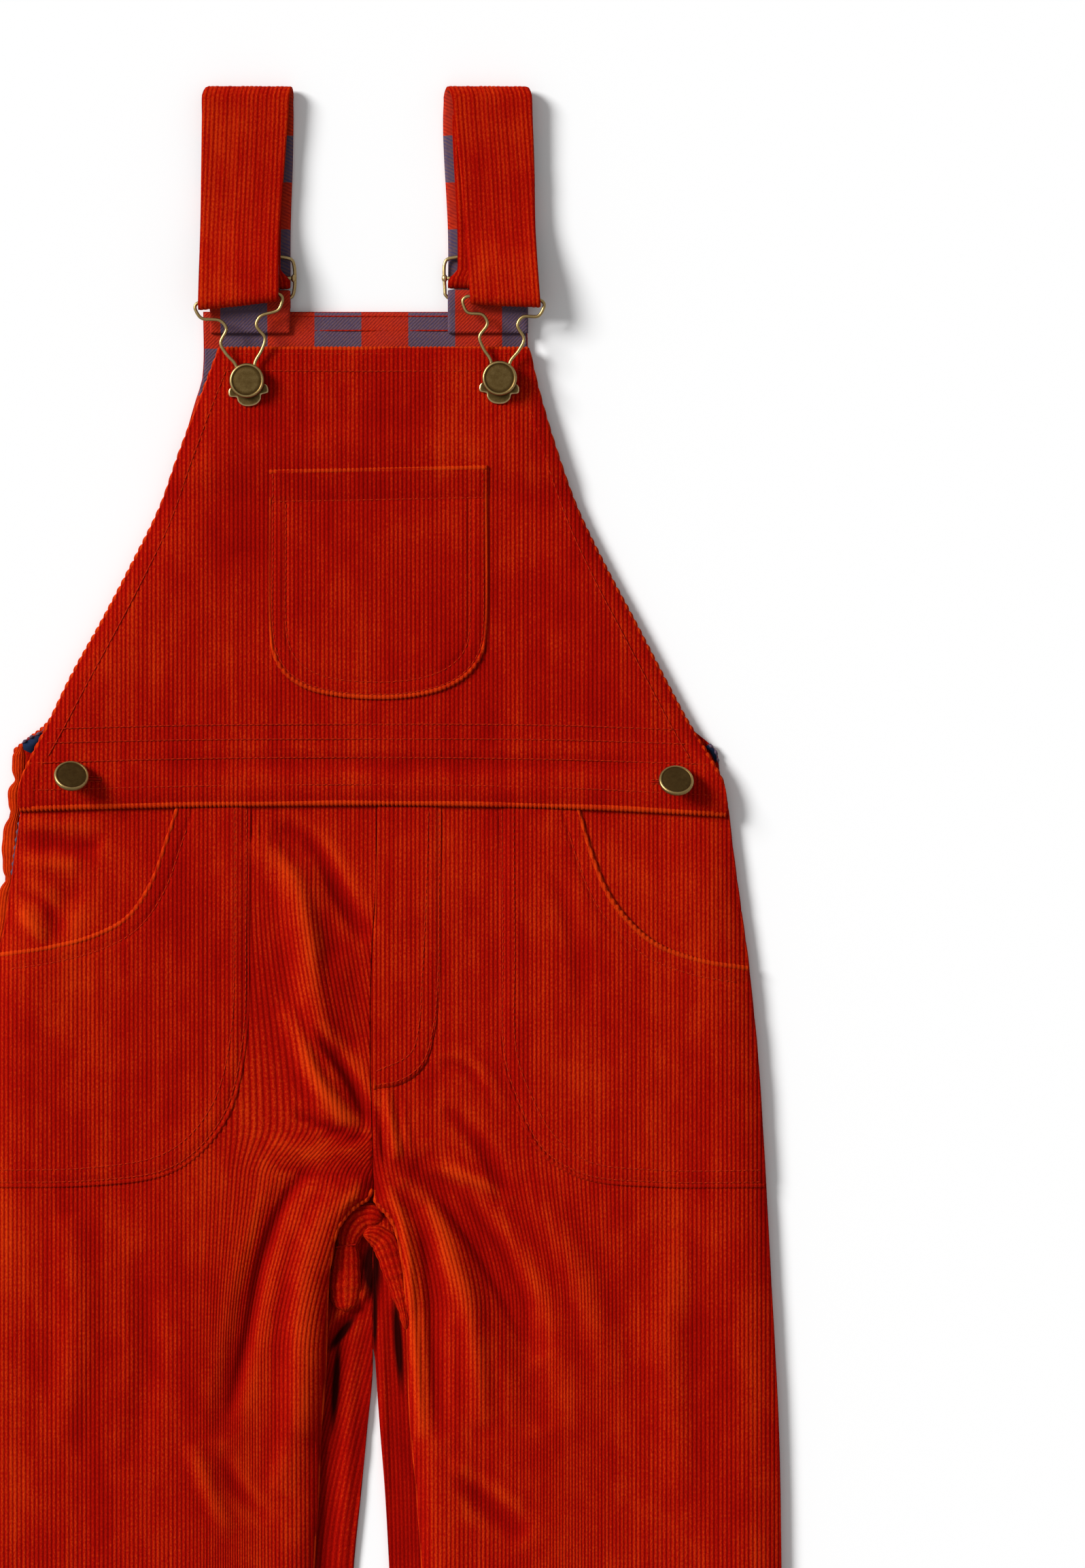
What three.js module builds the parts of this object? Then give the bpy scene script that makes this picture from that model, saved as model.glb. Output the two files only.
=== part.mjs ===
// Toddler overalls in lined corduroy, laid face up on a flat surface.
//
// Sizes are in millimetres. X runs to the viewer's right, Y up the garment and Z up from the
// surface. Places are measured from the middle of the waist seam, and the finished garment is
// then moved so that its origin lies under the middle of its outline.

import * as THREE from "three";

// Cloth and gaps
const CLOTH = 2.0; // corduroy with its lining
const PATCH = 1.5; // one layer of corduroy with a turned edge
const FACING = 1.0; // checked cotton twill
const FLY_LAYER = 1.0; // the mock fly's extra layer
const STRAP = 2.2; // corduroy outside, check inside
const SEAM_GAP = 0.3; // between pieces that are sewn together
const LAID_GAP = 0.4; // under a piece that lies on a curved panel

// Heights on the garment, from the waist seam
const STRAP_TOP = 301.2;
const BACK_TOP_EDGE = 206.6;
const BIB_TOP_EDGE = 191;
const FACING_FOOT = 150;
const TUCK = 8.5; // the trouser tops reach this far up under the bib
const HEM = -504;

// How much the cloth stands up from a flat stack
const TROUSER_CROWN = 3.2;
const BIB_CROWN = 2.4;
const SIDE_REACH = 24; // the outer edges round off over this width
const INNER_REACH = 16;
const WAIST_CROWN_SHARE = 0.3; // of the full crown, at the waist seam
const WAIST_EASE = 45; // the full crown is reached this far below the waist
const LEGS_PART = { from: -138, to: -170 }; // one crown becomes two
const FACING_STEP = { from: 128, to: 141 }; // the front bib climbs onto the facing
const LAP_END = 30; // above this the front bib has left the trousers' top edge
const STEEPEST = 1.3; // most that a tilted wall grows when measured straight up

// The bib's lower edge hangs lower towards the sides
const WAIST_HALF = 149;
const DROOP_LEFT = 2.5;
const DROOP_RIGHT = 4.8;

// Side seams, from under the bib down to the hem
const SIDE_SEAM = [
  { y: 10, frontLeft: -146.6, frontRight: 147.4, backLeft: -151.4, backRight: 146.9 },
  { y: 0, frontLeft: -147.3, frontRight: 149.0, backLeft: -151.6, backRight: 148.0 },
  { y: -16, frontLeft: -149.3, frontRight: 150.8, backLeft: -154.8, backRight: 150.8 },
  { y: -30, frontLeft: -151.4, frontRight: 152.6, backLeft: -154.2, backRight: 152.6 },
  { y: -45, frontLeft: -153.2, frontRight: 154.6, backLeft: -156.6, backRight: 154.6 },
  { y: -60, frontLeft: -156.6, frontRight: 156.9, backLeft: -157.4, backRight: 156.9 },
  { y: -82, frontLeft: -159.5, frontRight: 159.3, backLeft: -159.5, backRight: 159.3 },
  { y: -105, frontLeft: -162.0, frontRight: 161.6, backLeft: -162.0, backRight: 161.6 },
  { y: -139, frontLeft: -164.6, frontRight: 163.9, backLeft: -164.6, backRight: 163.9 },
  { y: -196, frontLeft: -167.4, frontRight: 167.0, backLeft: -167.4, backRight: 167.0 },
  { y: -264, frontLeft: -170.7, frontRight: 170.5, backLeft: -170.7, backRight: 170.5 },
  { y: -320, frontLeft: -171.6, frontRight: 171.5, backLeft: -171.6, backRight: 171.5 },
  { y: -504, frontLeft: -173.5, frontRight: 173.5, backLeft: -173.5, backRight: 173.5 },
];

// Centre seam, then the arch at the crotch, then the inseams down to the hem
const INNER_SEAM = [
  { y: 10, frontLeft: 1.25, frontRight: 1.55, backLeft: -0.15, backRight: 0.15 },
  { y: -32, frontLeft: 1.25, frontRight: 1.55, backLeft: -0.15, backRight: 0.15 },
  { y: -64, frontLeft: -0.45, frontRight: -0.15, backLeft: -0.15, backRight: 0.15 },
  { y: -100, frontLeft: -1.05, frontRight: -0.75, backLeft: -0.15, backRight: 0.15 },
  { y: -133, frontLeft: -0.45, frontRight: -0.15, backLeft: -0.15, backRight: 0.15 },
  { y: -160, frontLeft: 0.15, frontRight: 0.45, backLeft: -0.15, backRight: 0.15 },
  { y: -165, frontLeft: -0.7, frontRight: 0.6, backLeft: -0.15, backRight: 0.15 },
  { y: -167, frontLeft: -3.8, frontRight: 0.9, backLeft: -0.15, backRight: 0.15 },
  { y: -170, frontLeft: -8.0, frontRight: 3.6, backLeft: -0.15, backRight: 0.15 },
  { y: -173, frontLeft: -10.9, frontRight: 6.3, backLeft: -0.15, backRight: 0.15 },
  { y: -177, frontLeft: -13.7, frontRight: 8.7, backLeft: -0.15, backRight: 0.15 },
  { y: -182, frontLeft: -15.4, frontRight: 10.2, backLeft: -1.6, backRight: 1.0 },
  { y: -187, frontLeft: -16.3, frontRight: 11.3, backLeft: -4.6, backRight: 3.0 },
  { y: -196, frontLeft: -17.8, frontRight: 12.7, backLeft: -4.2, backRight: 3.0 },
  { y: -206, frontLeft: -18.5, frontRight: 13.5, backLeft: -1.4, backRight: 1.3 },
  { y: -218, frontLeft: -18.9, frontRight: 14.0, backLeft: -0.2, backRight: 0.2 },
  { y: -240, frontLeft: -19.6, frontRight: 14.6, backLeft: -0.2, backRight: 1.4 },
  { y: -262, frontLeft: -21.4, frontRight: 15.7, backLeft: -2.3, backRight: 2.9 },
  { y: -288, frontLeft: -22.5, frontRight: 18.2, backLeft: -4.8, backRight: 5.0 },
  { y: -320, frontLeft: -24.5, frontRight: 20.5, backLeft: -8.0, backRight: 6.8 },
  { y: -400, frontLeft: -29.0, frontRight: 25.0, backLeft: -13.0, backRight: 11.0 },
  { y: -504, frontLeft: -34.0, frontRight: 30.0, backLeft: -18.0, backRight: 16.0 },
];

// Slanted sides of the front bib
const BIB_SIDES = [
  { y: 191, left: -64.3, right: 65.6 },
  { y: 171, left: -71.9, right: 70.3 },
  { y: 146, left: -81.5, right: 77.8 },
  { y: 123, left: -89.8, right: 86.1 },
  { y: 100, left: -101.2, right: 97.2 },
  { y: 77, left: -113.3, right: 109.5 },
  { y: 55, left: -125.6, right: 121.0 },
  { y: 35, left: -135.4, right: 131.7 },
  { y: 20, left: -142.9, right: 141.0 },
  { y: 8, left: -148.0, right: 147.2 },
  { y: 0, left: -148.8, right: 149.0 },
];

// Sides of the back bib, which widen at once into the back waist
const BACK_SIDES = [
  { y: 206.6, left: -71.3, right: 64.6 },
  { y: 180, left: -71.5, right: 65.8 },
  { y: 168, left: -74.9, right: 68.6 },
  { y: 157, left: -78.0, right: 72.2 },
  { y: 146, left: -80.6, right: 75.8 },
  { y: 100, left: -100.0, right: 95.4 },
  { y: 55, left: -124.5, right: 119.5 },
  { y: 34, left: -136.4, right: 131.5 },
  { y: 25, left: -147.3, right: 141.6 },
  { y: 22, left: -150.4, right: 144.4 },
  { y: 12, left: -150.0, right: 145.8 },
  { y: 0, left: -151.6, right: 148.0 },
];

// Folds on the trouser fronts: height above the cloth beside it, and from crest to foot
const TROUSER_FOLDS = [
  { name: "drag line beside the fly", height: -1.6, reach: 10, path: [[-39, -10], [-20, -30], [-1, -55]] },
  { name: "lobe beside the fly", height: 2.6, reach: 14, path: [[-31, -22], [-20, -100], [-12, -135]] },
  { name: "crease above the crotch", height: -1.8, reach: 10, path: [[-21, -98], [-10, -118], [0, -136]] },
  { name: "left leg drag", height: -2.2, reach: 10, path: [[-29, -160], [-43, -204], [-60, -278]] },
  { name: "left leg rib", height: 1.8, reach: 10, path: [[-20, -168], [-32, -206], [-46, -290]] },
  { name: "right leg drag", height: -2.8, reach: 13, path: [[14, -150], [40, -180], [57, -211], [72, -262]] },
  { name: "right leg ridge", height: 2.4, reach: 12, path: [[22, -166], [35, -195], [48, -232], [56, -262]] },
  { name: "right knee crease", height: -1.5, reach: 11, path: [[40, -262], [48, -284], [58, -306]] },
  { name: "left hip crease", height: -1.6, reach: 9, path: [[-150, -15], [-132, -16], [-114, -20]] },
  { name: "left hip dent", height: -1.5, reach: 10, path: [[-124, -32], [-130, -46], [-133, -60]] },
  { name: "left shin crease", height: -1.6, reach: 14, path: [[-112, -332], [-86, -346], [-62, -374]] },
  { name: "left shin ridge", height: 1.6, reach: 15, path: [[-72, -396], [-96, -412], [-122, -424]] },
  { name: "right shin crease", height: -1.6, reach: 14, path: [[66, -350], [92, -362], [116, -388]] },
  { name: "right shin ridge", height: 1.6, reach: 15, path: [[122, -410], [100, -424], [74, -446]] },
];

// Folds on the front bib
const BIB_FOLDS = [
  { name: "crease at the waist", height: -1.2, reach: 7, path: [[-96, 17], [0, 16.5], [129, 17]] },
  { name: "roll across the chest", height: 0.9, reach: 13, path: [[-72, 148], [0, 151], [66, 147]] },
];

// The bulky seam that rolls round the crotch, and the lift that it gives the fronts over it
const ROLL_PATH = [[-13, -200], [-12, -184], [-3, -173], [6, -179], [9, -196], [10, -214]];
const CROTCH_ROLL = [{ name: "rolled seam", height: 2.2, reach: 7, path: ROLL_PATH }];
const ROLL_COVER = [{ name: "cloth over the roll", height: 3.0, reach: 14, path: ROLL_PATH }];

// Outlines of the pieces laid on the panels, each side from its first corner to its second
const BIB_POCKET = {
  top: [[-43.3, 139.4], [47.9, 141.2]],
  left: [[-43.3, 139.4], [-43.3, 105], [-43.3, 74], [-41.6, 62.5], [-36.6, 54.2]],
  right: [[47.9, 141.2], [47.9, 105], [47.9, 75], [46.4, 64], [41.2, 55.4]],
  bottom: [[-36.6, 54.2], [-28, 48.6], [-15, 45.4], [4.8, 44.2], [21, 45.8], [33, 49.6], [41.2, 55.4]],
};
const POCKET_RIGHT = {
  opening: [[86.6, 0], [92.3, -21.4], [100.6, -40.2], [117, -57.3], [136, -65], [157.4, -68.7]],
  inner: [[52.7, 0], [53.2, -60], [53.8, -104.9], [59.6, -125.1], [70.5, -146.0]],
  bottom: [[70.5, -146.0], [88.1, -156.8], [120, -160.3], [164.3, -160.6]],
};
const POCKET_LEFT = {
  opening: [[-82.1, 0], [-87, -16], [-93.5, -34], [-103, -47.4], [-116, -54.6], [-134, -59.6], [-156.4, -63]],
  inner: [[-51.3, 0], [-51.5, -50], [-52.8, -100], [-60.0, -130], [-73.5, -147.6]],
  bottom: [[-73.5, -147.6], [-88, -155.8], [-118, -159.8], [-164.7, -160.6]],
};
const FLY = {
  seam: [[2.2, 0], [0.6, -63], [0.1, -100], [0.3, -119.6]],
  edge: [[28.6, 0], [28.4, -68], [26.2, -95], [21.6, -110.4]],
  bottom: [[0.3, -119.6], [12.4, -117.4], [21.6, -110.4]],
};

// Straps: the edges of the layer that shows and of the layer behind it
const STRAPS = {
  left: {
    lean: 0.108,
    front: [
      { y: 301, left: -71.4, right: -34.4 },
      { y: 265, left: -71.9, right: -37.1 },
      { y: 240, left: -72.2, right: -39.0 },
      { y: 208, left: -72.9, right: -39.2 },
    ],
    back: [
      { y: 301, left: -67.8, right: -33.2 },
      { y: 272, left: -67.8, right: -33.6 },
      { y: 240, left: -68.3, right: -34.6 },
      { y: 208, left: -68.3, right: -34.6 },
    ],
  },
  right: {
    lean: -0.05,
    front: [
      { y: 301, left: 32.6, right: 66.6 },
      { y: 267, left: 36.5, right: 67.9 },
      { y: 240, left: 38.8, right: 68.4 },
      { y: 208, left: 41.2, right: 70.6 },
    ],
    back: [
      { y: 301, left: 29.6, right: 63.6 },
      { y: 280, left: 29.5, right: 63.5 },
      { y: 240, left: 31.5, right: 65.2 },
      { y: 208, left: 31.5, right: 65.2 },
    ],
  },
};

// The route of a strap from the side, by height over the surface
const BAR = { y: 211.5, z: 10.75 }; // the top bar of the hook wire
const HOOK_TURN = 2.15;
const RETURN_END = 224;
const FRONT_RUN = [
  { y: 214, z: 12.8 },
  { y: 225, z: 11.5 },
  { y: 233, z: 9.4 },
  { y: 246, z: 6.8 },
  { y: 268, z: 6.2 },
  { y: 288, z: 6.5 },
];
const TOP_TURN = 2.7;
const SLIDER = { y: 220.5, z: 3.6 }; // its middle bar
const SLIDER_TURN = 2.5;
const SLIDER_BAR_STEP = 8.25;
const TAIL_RUN = [
  { y: 224, z: 6.1 },
  { y: 230, z: 6.0 },
  { y: 236, z: 4.4 },
];
const STUB_RUN = [
  { y: 197.5, z: 4.75 },
  { y: 203.5, z: 4.75 },
  { y: 208.6, z: 5.7 },
];
const STUB_RETURN = 208.2;
const TURN_STEPS = 6;

// Hardware
const WIRE = 1.4;
const SLIDER_BAR = 1.5;
const SLIDER_THICKNESS = 1.4;
const BEAD = 1.7;
const PLATE = 1.0;
const SHANK = 2.2;
const BUTTONS = [
  { name: "bib_button_left", x: -52.4, y: 177.0, radius: 7.3, tilt: 0, turn: 0 },
  { name: "bib_button_right", x: 53.3, y: 178.0, radius: 7.3, tilt: 0, turn: 0 },
  { name: "side_button_left", x: -125.8, y: 11.0, radius: 7.4, tilt: 36, turn: -14 },
  { name: "side_button_right", x: 127.1, y: 9.1, radius: 7.4, tilt: 34, turn: -8 },
];
const SIDE_SHANK = 4.3;
// Right half of the hook plate's edge, from the button's middle: out, up
const PLATE_EDGE = [
  [0, 5.4],
  [4.2, 3.4],
  [5.4, -1.2],
  [8.0, -2.6],
  [8.2, -5.6],
  [5.2, -6.4],
  [4.8, -8.2],
  [3.0, -10.0],
  [0, -10.6],
];
const HOOKS = [
  { side: "left", x: -52.4, y: 177.0, lean: 6.2, bar: 34.7, half: 18.3 },
  { side: "right", x: 53.3, y: 178.0, lean: -2.9, bar: 33.5, half: 17.0 },
];
// Half of the hook wire, from under the button up to its shoulder
const HOOK_HALF = [
  { out: 0, up: -3.7 },
  { out: 2.7, up: -2.6 },
  { out: 3.8, up: 1.2 },
  { out: 4.0, up: 7.0 },
  { out: 7.6, up: 12.4 },
  { out: 9.3, up: 17.0 },
  { out: 6.3, up: 22.6 },
  { out: 8.4, up: 26.2 },
];

// Finishes
const FINISH = {
  corduroy: { color: 0x9c1c07, roughness: 0.95, metalness: 0 },
  check: { color: 0x7a4a50, roughness: 0.9, metalness: 0 },
  brass: { color: 0x7d6a3c, roughness: 0.45, metalness: 0.9 },
};

const clamp = THREE.MathUtils.clamp;
const mix = THREE.MathUtils.lerp;

function rise(value, low, high) {
  return THREE.MathUtils.smoothstep(value, low, high);
}

function steps(from, to, count) {
  return Array.from({ length: count + 1 }, (_, k) => mix(from, to, k / count));
}

// Reads a column of a table whose rows go down the garment, with smooth bends between rows
function read(table, column, y) {
  const last = table.length - 1;
  const height = clamp(y, table[last].y, table[0].y);
  let row = 0;
  while (row < last - 1 && height < table[row + 1].y) row += 1;
  const slope = (k) => {
    const above = table[Math.max(k - 1, 0)];
    const below = table[Math.min(k + 1, last)];
    return (below[column] - above[column]) / (below.y - above.y);
  };
  const span = table[row + 1].y - table[row].y;
  const t = (height - table[row].y) / span;
  const a = table[row][column];
  const b = table[row + 1][column];
  const startPull = slope(row) * span;
  const endPull = slope(row + 1) * span;
  return a + t * (startPull + t * (3 * (b - a) - 2 * startPull - endPull
    + t * (2 * (a - b) + startPull + endPull)));
}

// Rises from 0 at an edge to 1 once the given reach inside it
function shoulder(distance, reach) {
  const left = 1 - clamp(distance / reach, 0, 1);
  return 1 - left ** 3;
}

function tracedFolds(folds) {
  return folds.map((fold) => {
    const curve = new THREE.SplineCurve(fold.path.map(([x, y]) => new THREE.Vector2(x, y)));
    return { ...fold, trace: curve.getPoints(18) };
  });
}

// Adds up the folds near a place; each one fades out towards its ends
function foldLift(folds, x, y) {
  let lift = 0;
  for (const { height, reach, trace } of folds) {
    let nearest = Infinity;
    let along = 0;
    for (let k = 0; k < trace.length - 1; k += 1) {
      const start = trace[k];
      const runX = trace[k + 1].x - start.x;
      const runY = trace[k + 1].y - start.y;
      const t = clamp(((x - start.x) * runX + (y - start.y) * runY) / (runX * runX + runY * runY), 0, 1);
      const distance = Math.hypot(x - start.x - t * runX, y - start.y - t * runY);
      if (distance < nearest) {
        nearest = distance;
        along = (k + t) / (trace.length - 1);
      }
    }
    if (nearest < reach) {
      const across = 0.5 + 0.5 * Math.cos((Math.PI * nearest) / reach);
      lift += height * across * Math.sqrt(Math.max(0, Math.sin(Math.PI * along)));
    }
  }
  return lift;
}

const trouserFolds = tracedFolds(TROUSER_FOLDS);
const bibFolds = tracedFolds(BIB_FOLDS);
const crotchRoll = tracedFolds(CROTCH_ROLL);
const rollCover = tracedFolds(ROLL_COVER);

// How much thicker a tilted wall is when measured straight up
function steepness(surface, x, y) {
  const reach = 0.5;
  const acrossX = (surface(x + reach, y) - surface(x - reach, y)) / (2 * reach);
  const acrossY = (surface(x, y + reach) - surface(x, y - reach)) / (2 * reach);
  return Math.min(Math.hypot(1, acrossX, acrossY), STEEPEST);
}

// Surfaces of the stack, from the floor up
function backUnder(x, y) {
  return foldLift(crotchRoll, x, y);
}

function trouserUnder(x, y) {
  const seamMiddle = 0.5 * (read(INNER_SEAM, "frontLeft", y) + read(INNER_SEAM, "frontRight", y));
  const isLeft = x < seamMiddle;
  const outer = isLeft ? x - read(SIDE_SEAM, "frontLeft", y) : read(SIDE_SEAM, "frontRight", y) - x;
  const inner = isLeft ? read(INNER_SEAM, "frontLeft", y) - x : x - read(INNER_SEAM, "frontRight", y);
  const split = 1 - rise(y, LEGS_PART.to, LEGS_PART.from);
  const waistEase = mix(1, WAIST_CROWN_SHARE, rise(y, -WAIST_EASE, 0));
  const rounding = shoulder(outer, SIDE_REACH) * mix(1, shoulder(inner, INNER_REACH), split);
  const folds = foldLift(trouserFolds, x, y) * shoulder(outer, SIDE_REACH / 3) * (1 - rise(y, -12, -2));
  const lift = Math.max(0, TROUSER_CROWN * waistEase * rounding + folds);
  return CLOTH + SEAM_GAP + foldLift(rollCover, x, y) + lift;
}

function trouserTop(x, y) {
  return trouserUnder(x, y) + CLOTH * steepness(trouserUnder, x, y);
}

function bibUnder(x, y) {
  const edge = Math.min(x - read(BIB_SIDES, "left", y), read(BIB_SIDES, "right", y) - x);
  const crown = BIB_CROWN * shoulder(edge, SIDE_REACH) * mix(0.5, 1, shoulder(BIB_TOP_EDGE - y, 30));
  const onFacing = (FACING + SEAM_GAP) * rise(y, FACING_STEP.from, FACING_STEP.to);
  const onBack = CLOTH + SEAM_GAP + onFacing + crown;
  const onTrousers = trouserTop(x, Math.min(y, TUCK)) + LAID_GAP;
  const lapped = 1 - rise(y, TUCK + 2, LAP_END);
  const folds = foldLift(bibFolds, x, y) * rise(y, TUCK, TUCK + 5);
  return mix(onBack, onTrousers, lapped) + folds;
}

function bibTop(x, y) {
  return bibUnder(x, y) + CLOTH * steepness(bibUnder, x, y);
}

function waistEdge(x) {
  const drop = x < 0 ? DROOP_LEFT : DROOP_RIGHT;
  return -drop * (x / WAIST_HALF) ** 2;
}

// Closes a wall between two grids of points whose rows go down and columns to the right
function closedWall(upper, lower) {
  const rows = upper.length - 1;
  const columns = upper[0].length - 1;
  const layer = (rows + 1) * (columns + 1);
  const top = (row, column) => row * (columns + 1) + column;
  const under = (row, column) => layer + top(row, column);
  const indices = [];
  const quad = (a, b, c, d) => indices.push(a, b, c, a, c, d);
  for (let row = 0; row < rows; row += 1) {
    for (let column = 0; column < columns; column += 1) {
      const right = column + 1;
      quad(top(row, column), top(row + 1, column), top(row + 1, right), top(row, right));
      quad(under(row, column), under(row, right), under(row + 1, right), under(row + 1, column));
    }
    quad(top(row, 0), under(row, 0), under(row + 1, 0), top(row + 1, 0));
    quad(top(row + 1, columns), under(row + 1, columns), under(row, columns), top(row, columns));
  }
  for (let column = 0; column < columns; column += 1) {
    const right = column + 1;
    quad(top(0, right), under(0, right), under(0, column), top(0, column));
    quad(top(rows, column), under(rows, column), under(rows, right), top(rows, right));
  }
  const geometry = new THREE.BufferGeometry();
  const points = [...upper.flat(), ...lower.flat()];
  geometry.setAttribute("position", new THREE.Float32BufferAttribute(points.flat(), 3));
  geometry.setIndex(indices);
  geometry.computeVertexNormals();
  return geometry;
}

// A wall over plan places, on the given surface
function wallOver(places, under, thickness) {
  const lower = places.map((row) => row.map(([x, y]) => [x, y, under(x, y)]));
  const upper = lower.map((row) => row.map(([x, y, z]) => [x, y, z + thickness * steepness(under, x, y)]));
  return closedWall(upper, lower);
}

// Plan places between a left and a right edge, row by row down the garment
function placesBetween(levels, columns, left, right) {
  return levels.map((y) => steps(left(y), right(y), columns).map((x) => [x, y]));
}

// Plan places of a leg, at the given shares of the way from its side seam to its inner seam
function placesAcross(levels, shares, outer, inner, isLeft) {
  return levels.map((y) => {
    const row = shares.map((share) => [mix(outer(y), inner(y), share), y]);
    return isLeft ? row : row.reverse();
  });
}

// Plan places inside four sides, each side given as a curve from 0 to 1
function placesInside({ top, bottom, left, right }, rows, columns) {
  const corner = (curve, end) => curve.getPointAt(end);
  return steps(0, 1, rows).map((v) => steps(0, 1, columns).map((u) => {
    const place = new THREE.Vector2();
    place.addScaledVector(top.getPointAt(u), 1 - v);
    place.addScaledVector(bottom.getPointAt(u), v);
    place.addScaledVector(left.getPointAt(v), 1 - u);
    place.addScaledVector(right.getPointAt(v), u);
    place.addScaledVector(corner(top, 0), -(1 - u) * (1 - v));
    place.addScaledVector(corner(top, 1), -u * (1 - v));
    place.addScaledVector(corner(bottom, 0), -(1 - u) * v);
    place.addScaledVector(corner(bottom, 1), -u * v);
    return [place.x, place.y];
  }));
}

function curveThrough(points) {
  return new THREE.SplineCurve(points.map(([x, y]) => new THREE.Vector2(x, y)));
}

// The same points, with those at the waist moved to just under the bib's edge
function fromWaist(points) {
  return points.map(([x, y]) => [x, y === 0 ? waistEdge(x) - SEAM_GAP : y]);
}

function namedMesh(name, geometry, finish) {
  const mesh = new THREE.Mesh(geometry, new THREE.MeshStandardMaterial({ ...FINISH[finish] }));
  mesh.name = name;
  return mesh;
}

function trouserFront(side) {
  const isLeft = side === "left";
  const outer = (y) => read(SIDE_SEAM, isLeft ? "frontLeft" : "frontRight", y);
  const inner = (y) => read(INNER_SEAM, isLeft ? "frontLeft" : "frontRight", y);
  const levels = [
    ...steps(TUCK, -158, 14),
    ...steps(-165, -185, 5),
    ...steps(-194, -306, 9),
    ...steps(-324, HEM, 8),
  ];
  const shares = steps(0, 1, 14).map((share) => 1 - (1 - share) ** 1.25);
  const places = placesAcross(levels, shares, outer, inner, isLeft);
  return namedMesh(`leg_front_${side}`, wallOver(places, trouserUnder, CLOTH), "corduroy");
}

function trouserBack(side) {
  const isLeft = side === "left";
  const outer = (y) => read(SIDE_SEAM, isLeft ? "backLeft" : "backRight", y);
  const inner = (y) => read(INNER_SEAM, isLeft ? "backLeft" : "backRight", y);
  const levels = [
    ...steps(-SEAM_GAP / 2, -155, 7),
    ...steps(-165, -219, 9),
    ...steps(-240, HEM, 5),
  ];
  const shares = [0, 0.45, 0.86, 0.9, 0.93, 0.96, 1];
  const places = placesAcross(levels, shares, outer, inner, isLeft);
  return namedMesh(`leg_back_${side}`, wallOver(places, backUnder, CLOTH), "corduroy");
}

function frontBib() {
  const levels = [...steps(BIB_TOP_EDGE, 35, 12), ...steps(28, 0, 6)];
  const left = (y) => read(BIB_SIDES, "left", y);
  const right = (y) => read(BIB_SIDES, "right", y);
  const places = placesBetween(levels, 17, left, right).map((row) => row.map(([x, y]) => {
    const nearWaist = 1 - clamp(y / TUCK, 0, 1);
    return [x, y + waistEdge(x) * nearWaist];
  }));
  return namedMesh("bib_front", wallOver(places, bibUnder, CLOTH), "corduroy");
}

function backBib() {
  const levels = [BACK_TOP_EDGE, 190, 180, 168, 157, 146, 123, 100, 77, 55, 34, 28, 25, 22, 12, SEAM_GAP / 2];
  const left = (y) => read(BACK_SIDES, "left", y);
  const right = (y) => read(BACK_SIDES, "right", y);
  const places = placesBetween(levels, 4, left, right);
  return namedMesh("bib_back", wallOver(places, () => 0, CLOTH), "corduroy");
}

function backBibLining() {
  const inset = 0.4;
  const levels = [BACK_TOP_EDGE - inset, 190, 180, 168, 157, FACING_FOOT];
  const left = (y) => read(BACK_SIDES, "left", y) + inset;
  const right = (y) => read(BACK_SIDES, "right", y) - inset;
  const places = placesBetween(levels, 4, left, right);
  return namedMesh("bib_back_lining", wallOver(places, () => CLOTH + SEAM_GAP, FACING), "check");
}

function bibPocket() {
  const sides = {
    top: curveThrough(BIB_POCKET.top),
    left: curveThrough(BIB_POCKET.left),
    right: curveThrough(BIB_POCKET.right),
    bottom: curveThrough(BIB_POCKET.bottom),
  };
  const places = placesInside(sides, 11, 11);
  return namedMesh("bib_pocket", wallOver(places, (x, y) => bibTop(x, y) + LAID_GAP, PATCH), "corduroy");
}

// A scooped patch pocket, from the bib's edge and the opening down to its rounded foot
function frontPocket(side, outline) {
  const isLeft = side === "left";
  const { opening, inner, bottom } = outline;
  const rim = new THREE.CurvePath();
  rim.add(curveThrough(fromWaist([inner[0], opening[0]])));
  rim.add(curveThrough(fromWaist(opening)));
  const seam = isLeft ? "frontLeft" : "frontRight";
  const inset = isLeft ? SEAM_GAP : -SEAM_GAP;
  const fromY = opening[opening.length - 1][1];
  const toY = bottom[bottom.length - 1][1];
  const outer = steps(fromY, toY, 8).map((y) => [read(SIDE_SEAM, seam, y) + inset, y]);
  outer[0] = opening[opening.length - 1];
  outer[8] = bottom[bottom.length - 1];
  const sides = {
    top: rim,
    left: curveThrough(fromWaist(inner)),
    right: curveThrough(outer),
    bottom: curveThrough(bottom),
  };
  const places = placesInside(sides, 14, 12);
  const ordered = isLeft ? places.map((row) => row.reverse()) : places;
  const under = (x, y) => trouserTop(x, y) + LAID_GAP;
  return namedMesh(`pocket_${side}`, wallOver(ordered, under, PATCH), "corduroy");
}

function mockFly() {
  const sides = {
    top: curveThrough(fromWaist([FLY.seam[0], FLY.edge[0]])),
    left: curveThrough(fromWaist(FLY.seam)),
    right: curveThrough(fromWaist(FLY.edge)),
    bottom: curveThrough(FLY.bottom),
  };
  const places = placesInside(sides, 14, 4);
  const under = (x, y) => trouserTop(x, y) + LAID_GAP;
  return namedMesh("fly", wallOver(places, under, FLY_LAYER), "corduroy");
}

// Half a turn of a ribbon round a bar; facing is 1 where it bulges up the garment, else -1
function halfTurn(centre, radius, facing, fromAbove) {
  const order = fromAbove ? 1 : -1;
  return steps(order * 90, -order * 90, TURN_STEPS).map((degrees) => {
    const angle = THREE.MathUtils.degToRad(degrees);
    return {
      y: centre.y + facing * radius * Math.cos(angle),
      z: centre.z + radius * Math.sin(angle),
    };
  });
}

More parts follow.
